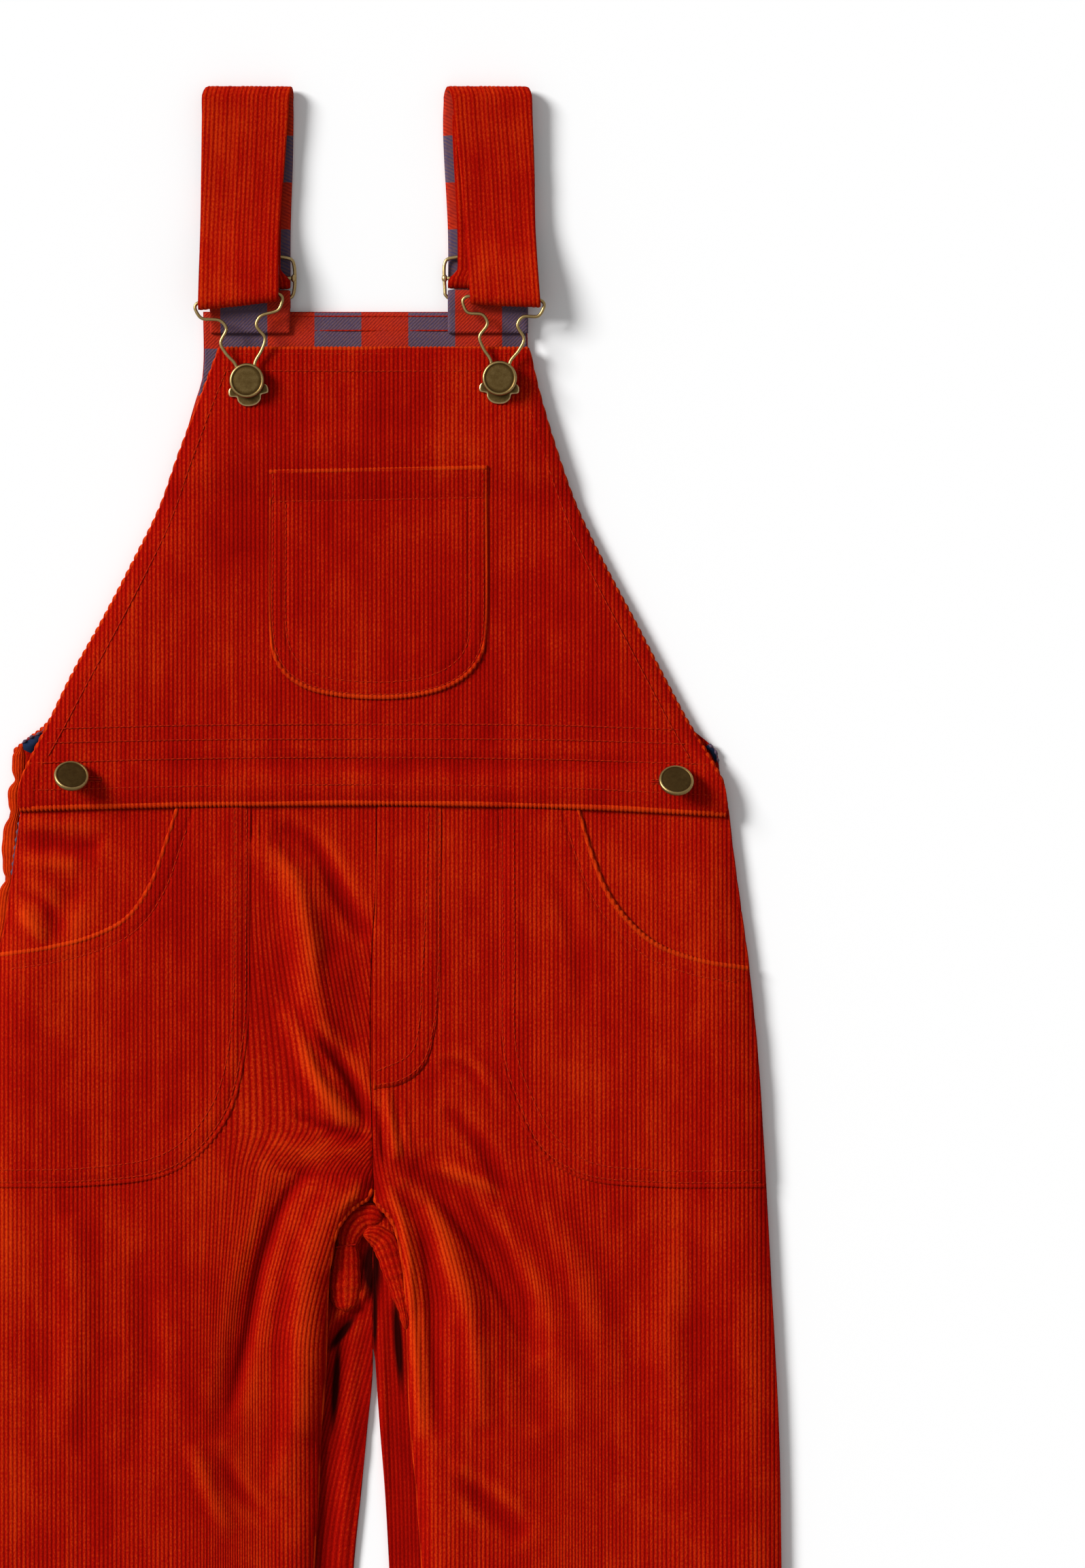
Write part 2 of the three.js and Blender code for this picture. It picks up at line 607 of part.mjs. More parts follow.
// A flat ribbon along a route in the YZ plane, its outer face to the left of the way it goes
function ribbon(route, thickness, columns, edges) {
  const faceAt = (offset) => route.map((station, k) => {
    const before = route[Math.max(k - 1, 0)];
    const after = route[Math.min(k + 1, route.length - 1)];
    const length = Math.hypot(after.y - before.y, after.z - before.z);
    const y = station.y - (offset * (after.z - before.z)) / length;
    const z = station.z + (offset * (after.y - before.y)) / length;
    const { left, right, shear } = edges(station);
    const middle = (left + right) / 2;
    return steps(right, left, columns).map((x) => [x, y + shear * (x - middle), z]);
  });
  return closedWall(faceAt(thickness / 2), faceAt(-thickness / 2));
}

function strap(side) {
  const { lean, front, back } = STRAPS[side];
  const backLevel = STRAP / 2;
  const topCentre = { y: STRAP_TOP - STRAP / 2 - TOP_TURN, z: backLevel + TOP_TURN };
  const hookRun = [
    { y: RETURN_END, z: BAR.z - HOOK_TURN },
    { y: (RETURN_END + BAR.y) / 2, z: BAR.z - HOOK_TURN },
    ...halfTurn(BAR, HOOK_TURN, -1, false),
    ...FRONT_RUN,
  ];
  const topRun = halfTurn(topCentre, TOP_TURN, 1, true);
  const sliderRun = [
    ...steps(288, 234, 4).map((y) => ({ y, z: backLevel })),
    ...halfTurn(SLIDER, SLIDER_TURN, -1, false),
    ...TAIL_RUN,
  ];
  const route = [
    ...hookRun.map((point) => ({ ...point, behind: 0 })),
    ...topRun.map((point, k) => ({ ...point, behind: k / TURN_STEPS })),
    ...sliderRun.map((point) => ({ ...point, behind: 1 })),
  ];
  const edges = ({ y, behind }) => ({
    left: mix(read(front, "left", y), read(back, "left", y), behind),
    right: mix(read(front, "right", y), read(back, "right", y), behind),
    shear: (1 - behind) * lean * (1 - rise(y, BAR.y + 4, BAR.y + 34)),
  });
  return namedMesh(`strap_${side}`, ribbon(route, STRAP, 2, edges), "corduroy");
}

function stub(side) {
  const { back } = STRAPS[side];
  const lowerBar = { y: SLIDER.y - SLIDER_BAR_STEP, z: SLIDER.z };
  const route = [
    ...STUB_RUN,
    ...halfTurn(lowerBar, SLIDER_TURN, 1, true),
    { y: STUB_RETURN, z: SLIDER.z - SLIDER_TURN },
  ];
  const left = read(back, "left", lowerBar.y);
  const right = read(back, "right", lowerBar.y);
  return namedMesh(`stub_${side}`, ribbon(route, STRAP, 2, () => ({ left, right, shear: 0 })), "check");
}

// The slider is a frame with three bars; its middle bar ends in a bead on each side
function slider(side) {
  const { back } = STRAPS[side];
  const clearance = 0.5;
  const left = read(back, "left", SLIDER.y) - clearance;
  const right = read(back, "right", SLIDER.y) + clearance;
  const half = (right - left) / 2;
  const reach = half + SLIDER_BAR;
  const height = SLIDER_BAR_STEP + SLIDER_BAR / 2;
  const outline = new THREE.Shape();
  outline.moveTo(-reach + 1, -height);
  outline.lineTo(reach - 1, -height);
  outline.lineTo(reach, -height + 1);
  outline.absarc(reach - 0.4, 0, BEAD, -Math.PI / 2, Math.PI / 2, false);
  outline.lineTo(reach, height - 1);
  outline.lineTo(reach - 1, height);
  outline.lineTo(-reach + 1, height);
  outline.lineTo(-reach, height - 1);
  outline.absarc(-reach + 0.4, 0, BEAD, Math.PI / 2, (3 * Math.PI) / 2, false);
  outline.lineTo(-reach, -height + 1);
  for (const bottom of [SLIDER_BAR / 2, SLIDER_BAR / 2 - SLIDER_BAR_STEP]) {
    const window = new THREE.Path();
    const top = bottom + SLIDER_BAR_STEP - SLIDER_BAR;
    window.moveTo(-half, bottom);
    window.lineTo(-half, top);
    window.lineTo(half, top);
    window.lineTo(half, bottom);
    outline.holes.push(window);
  }
  const geometry = new THREE.ExtrudeGeometry(outline, {
    depth: SLIDER_THICKNESS,
    bevelEnabled: false,
    curveSegments: 5,
  });
  const mesh = namedMesh(`slider_${side}`, geometry, "brass");
  mesh.position.set((left + right) / 2, SLIDER.y, SLIDER.z - SLIDER_THICKNESS / 2);
  return mesh;
}

// Height of the lowest plane that clears the bib within a radius
function clearHeight(x, y, radius) {
  const ring = steps(0, 2 * Math.PI, 12).map((angle) => {
    return bibTop(x + radius * Math.cos(angle), y + radius * Math.sin(angle));
  });
  return Math.max(bibTop(x, y), ...ring) + SEAM_GAP;
}

function plateHeight(x, y) {
  return clearHeight(x, y, 8);
}

function wireHeight(x, y) {
  return plateHeight(x, y) + PLATE + SEAM_GAP + WIRE / 2;
}

function hookWire({ side, x, y, lean, bar, half }) {
  const low = wireHeight(x, y);
  const upper = [
    { out: half - 2.2, up: bar - 6.6 },
    { out: half - 0.3, up: bar - 3.6 },
    { out: half, up: bar - 1.4 },
    { out: half - 1.6, up: bar },
    { out: half / 2, up: bar },
    { out: 0.25, up: bar },
  ];
  const rightHalf = [...HOOK_HALF, ...upper];
  const leftHalf = rightHalf.slice(1).map((point) => ({ out: -point.out, up: point.up }));
  const angle = THREE.MathUtils.degToRad(lean);
  const route = [...leftHalf.reverse(), ...rightHalf].map(({ out, up }) => new THREE.Vector3(
    x + out * Math.cos(angle) - up * Math.sin(angle),
    y + out * Math.sin(angle) + up * Math.cos(angle),
    mix(low, BAR.z, clamp((up - 8) / (bar - 8), 0, 1)),
  ));
  const section = new THREE.Shape(steps(0, 300, 5).map((degrees) => {
    const turn = THREE.MathUtils.degToRad(degrees);
    return new THREE.Vector2(Math.cos(turn), Math.sin(turn)).multiplyScalar(WIRE / 2);
  }));
  const geometry = new THREE.ExtrudeGeometry(section, {
    steps: 58,
    bevelEnabled: false,
    extrudePath: new THREE.CatmullRomCurve3(route),
  });
  return namedMesh(`hook_${side}`, geometry, "brass");
}

// The small plate under a bib button, with two ears and a tongue
function hookPlate({ side, x, y, lean }) {
  const leftEdge = PLATE_EDGE.slice(1, -1).map(([out, up]) => [-out, up]);
  const edge = [...PLATE_EDGE, ...leftEdge.reverse()];
  const outline = new THREE.Shape(edge.map(([out, up]) => new THREE.Vector2(out, up)));
  const hole = new THREE.Path();
  hole.absarc(0, 0, SHANK + 0.4, 0, 2 * Math.PI, false);
  outline.holes.push(hole);
  const geometry = new THREE.ExtrudeGeometry(outline, {
    depth: PLATE,
    bevelEnabled: false,
    curveSegments: 8,
  });
  const mesh = namedMesh(`hook_plate_${side}`, geometry, "brass");
  mesh.position.set(x, y, plateHeight(x, y));
  mesh.rotation.z = THREE.MathUtils.degToRad(lean);
  return mesh;
}

// A shank button with a rolled rim and a slightly dished face; a tilted one leans back from
// the viewer's bottom edge, so that its lower rim stands up
function button({ name, x, y, radius, tilt, turn }) {
  const isSide = tilt > 0;
  const foot = clearHeight(x, y, isSide ? radius : SHANK);
  const shankHeight = isSide ? SIDE_SHANK : wireHeight(x, y) + WIRE / 2 + SEAM_GAP - foot;
  const profile = [
    [0, 0],
    [SHANK, 0],
    [SHANK, shankHeight],
    [radius - 0.7, shankHeight],
    [radius, shankHeight + 0.8],
    [radius - 0.1, shankHeight + 1.7],
    [radius - 0.8, shankHeight + 2.3],
    [radius - 1.5, shankHeight + 2.0],
    [0, shankHeight + 2.1],
  ].map(([r, h]) => new THREE.Vector2(r, h));
  const geometry = new THREE.LatheGeometry(profile, 18);
  geometry.rotateX(Math.PI / 2);
  const mesh = namedMesh(name, geometry, "brass");
  const angle = THREE.MathUtils.degToRad(tilt);
  const turned = THREE.MathUtils.degToRad(turn);
  const hinge = new THREE.Vector3(Math.cos(turned), Math.sin(turned), 0);
  mesh.setRotationFromAxisAngle(hinge, -angle);
  const shank = new THREE.Vector3(0, 0, shankHeight).applyQuaternion(mesh.quaternion);
  mesh.position.set(x - shank.x, y - shank.y, foot + SHANK * Math.sin(angle));
  return mesh;
}

function overalls() {
  const garment = new THREE.Group();
  garment.add(backBib(), backBibLining());
  garment.add(frontBib(), bibPocket(), mockFly());
  garment.add(frontPocket("left", POCKET_LEFT), frontPocket("right", POCKET_RIGHT));
  for (const side of ["left", "right"]) {
    garment.add(trouserBack(side), trouserFront(side));
    garment.add(strap(side), stub(side), slider(side));
  }
  for (const hook of HOOKS) {
    garment.add(hookWire(hook), hookPlate(hook));
  }
  for (const place of BUTTONS) {
    garment.add(button(place));
  }
  garment.position.y = -(STRAP_TOP + HEM) / 2;
  return garment;
}

export default overalls();
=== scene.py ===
"""Toddler overalls in rust-red corduroy with a checked lining, laid face up on a pale surface.

Sizes are in millimetres. X runs to the viewer's right, Y up the garment from the middle of the waist
seam and Z up from the surface. Meshes are turned into metres, in the frame's place, when they are made.
"""

import math

import bpy
import numpy as np
from mathutils import Matrix, Vector


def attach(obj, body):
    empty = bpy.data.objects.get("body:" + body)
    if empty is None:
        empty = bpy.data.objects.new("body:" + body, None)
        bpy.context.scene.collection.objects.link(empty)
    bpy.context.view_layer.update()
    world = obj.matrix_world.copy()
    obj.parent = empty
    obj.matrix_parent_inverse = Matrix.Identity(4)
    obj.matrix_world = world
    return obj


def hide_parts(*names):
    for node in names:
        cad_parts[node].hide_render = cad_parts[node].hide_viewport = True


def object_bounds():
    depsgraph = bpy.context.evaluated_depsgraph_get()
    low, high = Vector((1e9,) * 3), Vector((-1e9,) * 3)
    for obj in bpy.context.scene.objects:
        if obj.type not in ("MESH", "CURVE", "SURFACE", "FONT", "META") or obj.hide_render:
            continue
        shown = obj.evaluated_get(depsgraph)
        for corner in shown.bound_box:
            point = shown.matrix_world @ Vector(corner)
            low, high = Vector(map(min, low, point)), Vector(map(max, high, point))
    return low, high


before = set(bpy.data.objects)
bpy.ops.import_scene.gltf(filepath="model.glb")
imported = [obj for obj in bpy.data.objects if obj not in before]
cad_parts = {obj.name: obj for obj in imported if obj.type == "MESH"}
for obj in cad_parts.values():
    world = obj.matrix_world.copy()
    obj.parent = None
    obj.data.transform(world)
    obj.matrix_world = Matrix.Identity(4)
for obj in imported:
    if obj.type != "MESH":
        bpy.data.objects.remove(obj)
cad_low, cad_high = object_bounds()

# Camera, over a photograph of 1596 by 2306 pixels
IMAGE_WIDTH, IMAGE_HEIGHT = 1596, 2306
MM_PER_PX = 0.285
WAIST_PX = (548, 1182)
CAMERA_HEIGHT = 2400
SENSOR = 36.0
CLOTH_LEVEL = 7

# Light: a soft window high on the left, and a white room
WINDOW_FROM = (-1.0, 0.5, 0.72)
WINDOW_POWER = 4.4
WINDOW_SOFTNESS = 22
ROOM_LIGHT = 0.40
FLOOR_WHITE = (0.86, 0.86, 0.86)

# Cloth and gaps
CLOTH = 2.0
FACING = 1.0
SEWN_PATCH = 0.9
SEWN_LAP = 0.6
STRAP = 2.2
SEAM_GAP = 0.3
LAID_GAP = 0.4
WALE = 1.814
PILE = 0.31
FOLD_REACH = 7
SUNK = 0.15

# Heights on the garment
STRAP_TOP = 301.2
BACK_TOP_EDGE = 206.6
BIB_TOP_EDGE = 191
FACING_FOOT = 150
TUCK = 8.5
HEM = -504
VIEW_END = -325

# How much the cloth stands up from a flat stack
TROUSER_CROWN = 3.9
BIB_CROWN = 2.4
SIDE_REACH = 24
INNER_REACH = 16
WAIST_CROWN_SHARE = 0.3
WAIST_EASE = 45
LEGS_PART = (-170, -138)
FACING_STEP = (128, 141)
LAP_END = 30
WAIST_HALF = 149
DROOP_LEFT = 2.5
DROOP_RIGHT = 4.8

CLOTH_MAP = "Cloth"
FOLD_MAP = "Fold"
CHECK_SQUARE = 19.7
CHECK_START = -4.8
MADE = {}


# Smooth curves and tables

def rise(value, low, high):
    share = np.clip((value - low) / (high - low), 0, 1)
    return share * share * (3 - 2 * share)


def shoulder(distance, reach):
    """From 0 at an edge to 1 once the given reach inside it."""
    return 1 - (1 - np.clip(distance / reach, 0, 1)) ** 3


def mix(a, b, share):
    return a + (b - a) * share


def curve(points, count=0, spacing=1.0):
    """A smooth path through points, as count + 1 places evenly spaced along it."""
    points = np.array(points, float)
    before, after = 2 * points[0] - points[1], 2 * points[-1] - points[-2]
    p = np.vstack([before, points, after])
    gap = np.linalg.norm(np.diff(p, axis=0), axis=1) ** 0.5
    places = []
    for k in range(1, len(points)):
        share = np.linspace(0, 1, 16, endpoint=k == len(points) - 1)[:, None]
        a, b, c = gap[k - 1], gap[k], gap[k + 1]
        start = ((p[k] - p[k - 1]) / a - (p[k + 1] - p[k - 1]) / (a + b) + (p[k + 1] - p[k]) / b) * b
        end = ((p[k + 1] - p[k]) / b - (p[k + 2] - p[k]) / (b + c) + (p[k + 2] - p[k + 1]) / c) * b
        bend = 2 * (p[k] - p[k + 1]) + start + end
        places.append(p[k] + share * (start + share * (3 * (p[k + 1] - p[k]) - 2 * start - end + share * bend)))
    return even(np.vstack(places), count, spacing)


def even(places, count=0, spacing=1.0):
    """The same path with its places evenly spaced."""
    run = np.concatenate([[0], np.cumsum(np.linalg.norm(np.diff(places, axis=0), axis=1))])
    count = count or max(2, round(run[-1] / spacing))
    at = np.linspace(0, run[-1], count + 1)
    return np.stack([np.interp(at, run, column) for column in places.T], axis=1)


def sideways(path):
    """Unit vectors to the left of the way a plan path goes."""
    way = np.gradient(path[:, :2], axis=0)
    way /= np.linalg.norm(way, axis=1)[:, None] + 1e-12
    return np.stack([-way[:, 1], way[:, 0]], axis=1)


class Table:
    """Named columns that are read at any height, with smooth bends between the rows."""

    def __init__(self, names, *rows):
        self.columns = dict(zip(names.split(), np.array(sorted(rows)).T))
        self.height = self.columns["y"]

    def at(self, name, y):
        h, x = self.height, self.columns[name]
        y = np.clip(y, h[0], h[-1])
        k = np.clip(np.searchsorted(h, y) - 1, 0, len(h) - 2)
        low, high = np.maximum(np.arange(len(h)) - 1, 0), np.minimum(np.arange(len(h)) + 1, len(h) - 1)
        slope = (x[high] - x[low]) / (h[high] - h[low])
        span = h[k + 1] - h[k]
        t = (y - h[k]) / span
        start, end = slope[k] * span, slope[k + 1] * span
        return x[k] + t * (start + t * (3 * (x[k + 1] - x[k]) - 2 * start - end
                                        + t * (2 * (x[k] - x[k + 1]) + start + end)))


# Side seams, from under the bib down to the hem
SIDE_SEAM = Table(
    "y front_left front_right back_left back_right",
    (10, -146.6, 147.4, -151.4, 146.9),
    (0, -147.3, 149.0, -151.6, 148.0),
    (-16, -149.3, 150.8, -154.8, 150.8),
    (-30, -151.4, 152.6, -154.2, 152.6),
    (-45, -153.2, 154.6, -156.6, 154.6),
    (-60, -156.6, 156.9, -157.4, 156.9),
    (-82, -159.5, 159.3, -159.5, 159.3),
    (-105, -162.0, 161.6, -162.0, 161.6),
    (-139, -164.6, 163.9, -164.6, 163.9),
    (-196, -167.4, 167.0, -167.4, 167.0),
    (-264, -170.7, 170.5, -170.7, 170.5),
    (-320, -171.6, 171.5, -171.6, 171.5),
    (-504, -173.5, 173.5, -173.5, 173.5),
)

# Centre seam, then the arch at the crotch, then the inseams down to the hem
INNER_SEAM = Table(
    "y front_left front_right back_left back_right",
    (10, 1.25, 1.55, -0.15, 0.15),
    (-32, 1.25, 1.55, -0.15, 0.15),
    (-64, -0.45, -0.15, -0.15, 0.15),
    (-100, -1.05, -0.75, -0.15, 0.15),
    (-133, -0.45, -0.15, -0.15, 0.15),
    (-160, 0.15, 0.45, -0.15, 0.15),
    (-165, -0.7, 0.6, -0.15, 0.15),
    (-167, -3.8, 0.9, -0.15, 0.15),
    (-170, -8.0, 3.6, -0.15, 0.15),
    (-173, -10.9, 6.3, -0.15, 0.15),
    (-177, -13.7, 8.7, -0.15, 0.15),
    (-182, -15.4, 10.2, -1.6, 1.0),
    (-187, -16.3, 11.3, -4.6, 3.0),
    (-196, -17.8, 12.7, -4.2, 3.0),
    (-206, -18.5, 13.5, -1.4, 1.3),
    (-218, -18.9, 14.0, -0.2, 0.2),
    (-240, -19.6, 14.6, -0.2, 1.4),
    (-262, -21.4, 15.7, -2.3, 2.9),
    (-288, -22.5, 18.2, -4.8, 5.0),
    (-320, -24.5, 20.5, -8.0, 6.8),
    (-400, -29.0, 25.0, -13.0, 11.0),
    (-504, -34.0, 30.0, -18.0, 16.0),
)

BIB_SIDES = Table(
    "y left right",
    (191, -64.3, 65.6),
    (171, -71.9, 70.3),
    (146, -81.5, 77.8),
    (123, -89.8, 86.1),
    (100, -101.2, 97.2),
    (77, -113.3, 109.5),
    (55, -125.6, 121.0),
    (35, -135.4, 131.7),
    (20, -142.9, 141.0),
    (8, -148.0, 147.2),
    (0, -148.8, 149.0),
)

# Sides of the back bib, which widen at once into the back waist
BACK_SIDES = Table(
    "y left right",
    (206.6, -71.3, 64.6),
    (180, -71.5, 65.8),
    (168, -74.9, 68.6),
    (157, -78.0, 72.2),
    (146, -80.6, 75.8),
    (100, -100.0, 95.4),
    (55, -124.5, 119.5),
    (34, -136.4, 131.5),
    (25, -147.3, 141.6),
    (22, -150.4, 144.4),
    (12, -150.0, 145.8),
    (0, -151.6, 148.0),
)

# Folds: height above the cloth beside it, reach to the left and right of its path, path
TROUSER_FOLDS = (
    (-1.6, 10, 10, ((-39, -10), (-20, -30), (-1, -55))),
    (2.6, 14, 12, ((-31, -22), (-20, -100), (-12, -135))),
    (-1.8, 10, 8, ((-21, -98), (-10, -118), (0, -136))),
    (-2.4, 10, 9, ((-26, -150), (-38, -168), (-49, -200), (-55, -230), (-64, -266))),
    (1.8, 8, 12, ((-14, -160), (-26, -184), (-31, -216), (-33, -262), (-40, -290))),
    (-2.8, 13, 15, ((18, -148), (39, -175), (54, -203), (66, -238), (70, -262))),
    (1.8, 9, 10, ((20, -170), (34, -192), (41, -216), (46, -262))),
    (-1.5, 10, 12, ((38, -280), (48, -294), (63, -308))),
    (-1.6, 7, 9, ((-150, -15), (-132, -16), (-114, -20))),
    (-1.5, 10, 9, ((-124, -32), (-130, -46), (-133, -60))),
    (-1.6, 14, 14, ((-112, -332), (-86, -346), (-62, -374))),
    (1.6, 15, 15, ((-72, -396), (-96, -412), (-122, -424))),
    (-1.6, 14, 14, ((66, -350), (92, -362), (116, -388))),
    (1.6, 15, 15, ((122, -410), (100, -424), (74, -446))),
)
BIB_FOLDS = (
    (-1.2, 6, 7, ((-96, 17), (0, 16.5), (129, 17))),
    (0.9, 13, 13, ((-72, 148), (0, 151), (66, 147))),
)
BACK_FOLDS = (
    (1.6, 6, 3, ((-21, -222), (-12, -212), (-3, -205), (-1.5, -196))),
    (-1.2, 2.5, 2.5, ((-20, -229), (-12, -219), (-4, -211))),
    (1.2, 5, 5, ((-7, -214), (-9, -240), (-11, -290), (-14, -330))),
    (0.9, 3, 3, ((4, -210), (4.5, -250), (6, -300))),
)
ROLL_PATH = ((-13, -200), (-12, -184), (-3, -173), (6, -179), (9, -196), (10, -214))
CROTCH_ROLL = ((2.2, 7, 7, ROLL_PATH),)
ROLL_COVER = ((3.0, 14, 14, ROLL_PATH),)

# How the wales lean aside: starts, is whole, ends; middle; reach; by how much, and to which side it stays whole
LEG_LEANS = {
    "left": (
        (-35, -134, -156, -32, 34, 13, 1),
        (-138, -232, -2000, -18, 62, -19, 1),
    ),
    "right": (
        (-140, -214, -2000, 32, 80, 15, -1),
    ),
}
BACK_LEANS = {
    "left": ((-165, -330, -2000, 5, 60, -30, 0),),
    "right": ((-165, -330, -2000, -5, 60, 5, 0),),
}
BIB_LEANS = ((60, 34, -30, -150, 14, -9, 0),)

# Lobes of the rolled back seam: place across, height, half width
LEFT_LOBE = ((-11.4, -213.4, 3.0), (-11.7, -207, 5.8), (-11.5, -198, 6.0), (-11.2, -190.5, 5.4), (-10.9, -186.2, 4.3),
             (-9.5, -179.6, 5.4), (-5.7, -174.6, 6.0), (-0.6, -173.2, 5.2), (4.6, -174.6, 3.6))
RIGHT_LOBE = ((-4.2, -180.6, 1.8), (0.6, -181, 4.2), (5.0, -184.2, 5.2), (8.2, -193.2, 4.8), (10.8, -202.6, 3.8),
              (13.0, -212, 2.2), (14.4, -221, 1.0))
CROSS_SEAM = ((-15.4, -186.0), (-11, -185.4), (-6.9, -184.9))

# Painted shade inside the crotch, spots where the cloth lies in shadow: place across, height, half length, half width,
# tilt in degrees
CROTCH_SHADE_SPOTS = (
    (-0.6, -195, 16, 5.4, 90),
    (0.8, -214, 20, 1.5, 90),
    (10.6, -226, 24, 2.4, 94),
    (-13.0, -222.5, 11, 2.2, 53),
    (-15.6, -244, 22, 2.0, 86),
)
HOLLOW_FOOT = -232

# The back's edge at the left hip: place across, height, half width
SIDE_SCALLOPS = ((-147.2, 24.6, 1.0), (-148.6, 20, 2.3), (-148.8, 14, 2.4), (-148.8, 9.6, 1.5), (-150.2, 5, 2.5),
                 (-150.2, 0, 2.5), (-150.2, -4, 1.6), (-151.8, -10, 2.7), (-152.4, -20, 3.0), (-152.6, -28, 2.4),
                 (-152.4, -32, 1.5), (-154.2, -38, 2.5), (-155.5, -50, 2.3), (-157.6, -62, 1.2))
SIDE_GAPS = (
    [(-147.2, 25.4), (-146.6, 22.6), (-143.6, 21.2), (-140.8, 21.6), (-139.2, 26.0), (-136.8, 30.8), (-141.6, 28.4)],
    [(138.4, 23.4), (141.2, 22.6), (144.0, 17.2), (144.9, 21.0), (142.0, 25.2)],
)
LINING_EDGES = (
    (((-147.6, 25.2), (-144, 27.8), (-140.5, 29.4), (-136.6, 32.2)), 2.9),
    (((-147.4, -3.5), (-149.2, -12), (-150.6, -22), (-151.6, -30)), 2.9),
    (((-141.2, 16.4), (-143.2, 11.6), (-145.2, 7.6)), 5.8),
    (((140.6, 25.0), (143.4, 23.0), (145.2, 16.8)), 2.7),
)

# Creases that are too sharp for the solids; sizes as for the folds
CREASES = (
    (-1.6, 5, 7, ((-42, -9), (-30, -14), (-22, -21), (-13, -40), (-2, -58))),
    (2.1, 13, 7, ((-52, -14), (-36, -28), (-27, -52), (-22, -84), (-16, -104))),
    (1.4, 8, 8, ((-14, -62), (-14, -80), (-8, -98))),
    (-2.4, 3, 5, ((-24, -95), (-20, -101), (-11, -114), (-2, -133))),
    (2.6, 9, 5, ((-36, -84), (-32, -94), (-21, -119), (-5, -136))),
    (-2.2, 3, 3, ((-33, -130), (-15, -137), (0, -141))),
    (1.2, 4, 4, ((-44, -142), (-24, -146), (-4, -146))),
    (-1.2, 2, 3, ((-42, -152), (-22, -156), (-4, -156))),
    (-1.6, 4, 4, ((-26, -152), (-36, -165), (-46, -190), (-52, -222), (-60, -256))),
    (3.0, 20, 5, ((-4, -157), (-11, -167), (-17, -186), (-21, -216), (-24, -266))),
    (1.5, 2.5, 4, ((5.5, -118), (7.5, -132), (10.5, -150))),
    (0.6, 2, 3, ((13, -124), (14, -138), (17, -150))),
    (-1.1, 2.5, 2.5, ((2.5, -126), (4, -140), (6, -152))),
    (-3.2, 9, 13, ((10, -147), (26, -160), (42, -178), (57, -202), (70, -232))),
    (1.4, 5, 4, ((20, -152), (40, -156), (60, -166))),
    (-1.5, 1.5, 1.5, ((153.0, -14), (155.2, -30), (157.4, -46), (158.6, -58))),
    (1.9, 3, 4, ((3, -156), (10, -168), (14.5, -186), (16.5, -216), (20, -266))),
    (-2.4, 5, 9, ((12, -160), (20, -175), (24, -198), (26, -230), (28, -266))),
    (0.8, 6, 7, ((28, -184), (38, -204), (43, -226), (46, -262))),
    (1.5, 10, 12, ((64, -160), (80, -184), (92, -212), (100, -244))),
    (0.7, 4, 5, ((24, -106), (39, -108), (50, -118), (56, -130))),
    (-1.0, 3, 4, ((28, -109), (38, -110), (46, -117))),
    (-1.4, 5, 7, ((30, -128), (44, -142), (52, -156), (55, -168))),
    (1.1, 4, 4, ((-158, -7), (-138, -9), (-112, -9))),
    (-1.4, 3, 3, ((-156, -14.5), (-141, -15), (-127, -18.5), (-112, -16))),
    (1.1, 4, 5, ((-153, -22), (-138, -25), (-122, -25))),
    (-1.2, 4, 4, ((-150, -36), (-138, -42), (-130, -53))),
    (1.4, 5, 5, ((-148, -44), (-142, -52), (-136, -56))),
    (-0.8, 6, 8, ((76, -28), (86, -60), (88, -92))),
    (-0.8, 7, 8, ((40, -286), (50, -296), (66, -308))),
    (0.8, 6, 6, ((32, -276), (46, -284), (64, -296))),
    (-1.2, 6, 6, ((-64, -272), (-56, -288), (-44, -300))),
    (1.4, 7, 6, ((-76, -268), (-68, -288), (-60, -306))),
    (1.6, 12, 12, ((-128, -172), (-124, -220), (-130, -270))),
    (-1.2, 10, 10, ((-98, -186), (-94, -230), (-100, -280))),
    (1.4, 12, 12, ((128, -180), (124, -230), (130, -290))),
)

# Widths of cloth turned in at the edges
BIB_HEM = 6.3
BIB_TOP_HEM = 9.5
WAIST_HEM = 8
POCKET_HEM = 12

# Outlines of what lies on the panels; a height of 0 stands for the bib's lower edge
BIB_POCKET_TOP = [(-43.3, 139.4), (0, 140.2), (47.9, 141.2)]
BIB_POCKET_FOOT = [(-43.3, 74), (-41.6, 62.5), (-36.6, 54.2), (-28, 48.6), (-15, 45.4), (4.8, 44.2),
                   (21, 45.8), (33, 49.6), (41.2, 55.4), (46.4, 64), (47.9, 75)]
FRONT_POCKETS = {
    "left": {
        "hem": 6.8,
        "opening": [(-82.1, 0), (-87, -16), (-93.5, -34), (-103, -47.4), (-116, -54.6), (-134, -59.6),
                    (-156.4, -63)],
        "foot": [(-164.7, -160.6), (-118, -159.8), (-88, -155.8), (-73.5, -147.6), (-60, -130),
                 (-52.8, -100), (-51.5, -50), (-51.3, 0)],
    },
    "right": {
        "hem": -6.8,
        "opening": [(86.6, 0), (92.3, -21.4), (100.6, -40.2), (117, -57.3), (136, -65), (157.4, -68.7)],
        "foot": [(164.3, -160.6), (120, -160.3), (88.1, -156.8), (70.5, -146), (59.6, -125.1),
                 (53.8, -104.9), (53.2, -60), (52.7, 0)],
    },
}
FLY_SEAM = [(2.2, 0), (0.6, -63), (0.1, -100), (0.3, -119.6)]
FLY_FOOT = [(0.3, -119.6), (12.4, -117.4), (21.6, -110.4), (26.2, -95), (28.4, -68), (28.6, 0)]

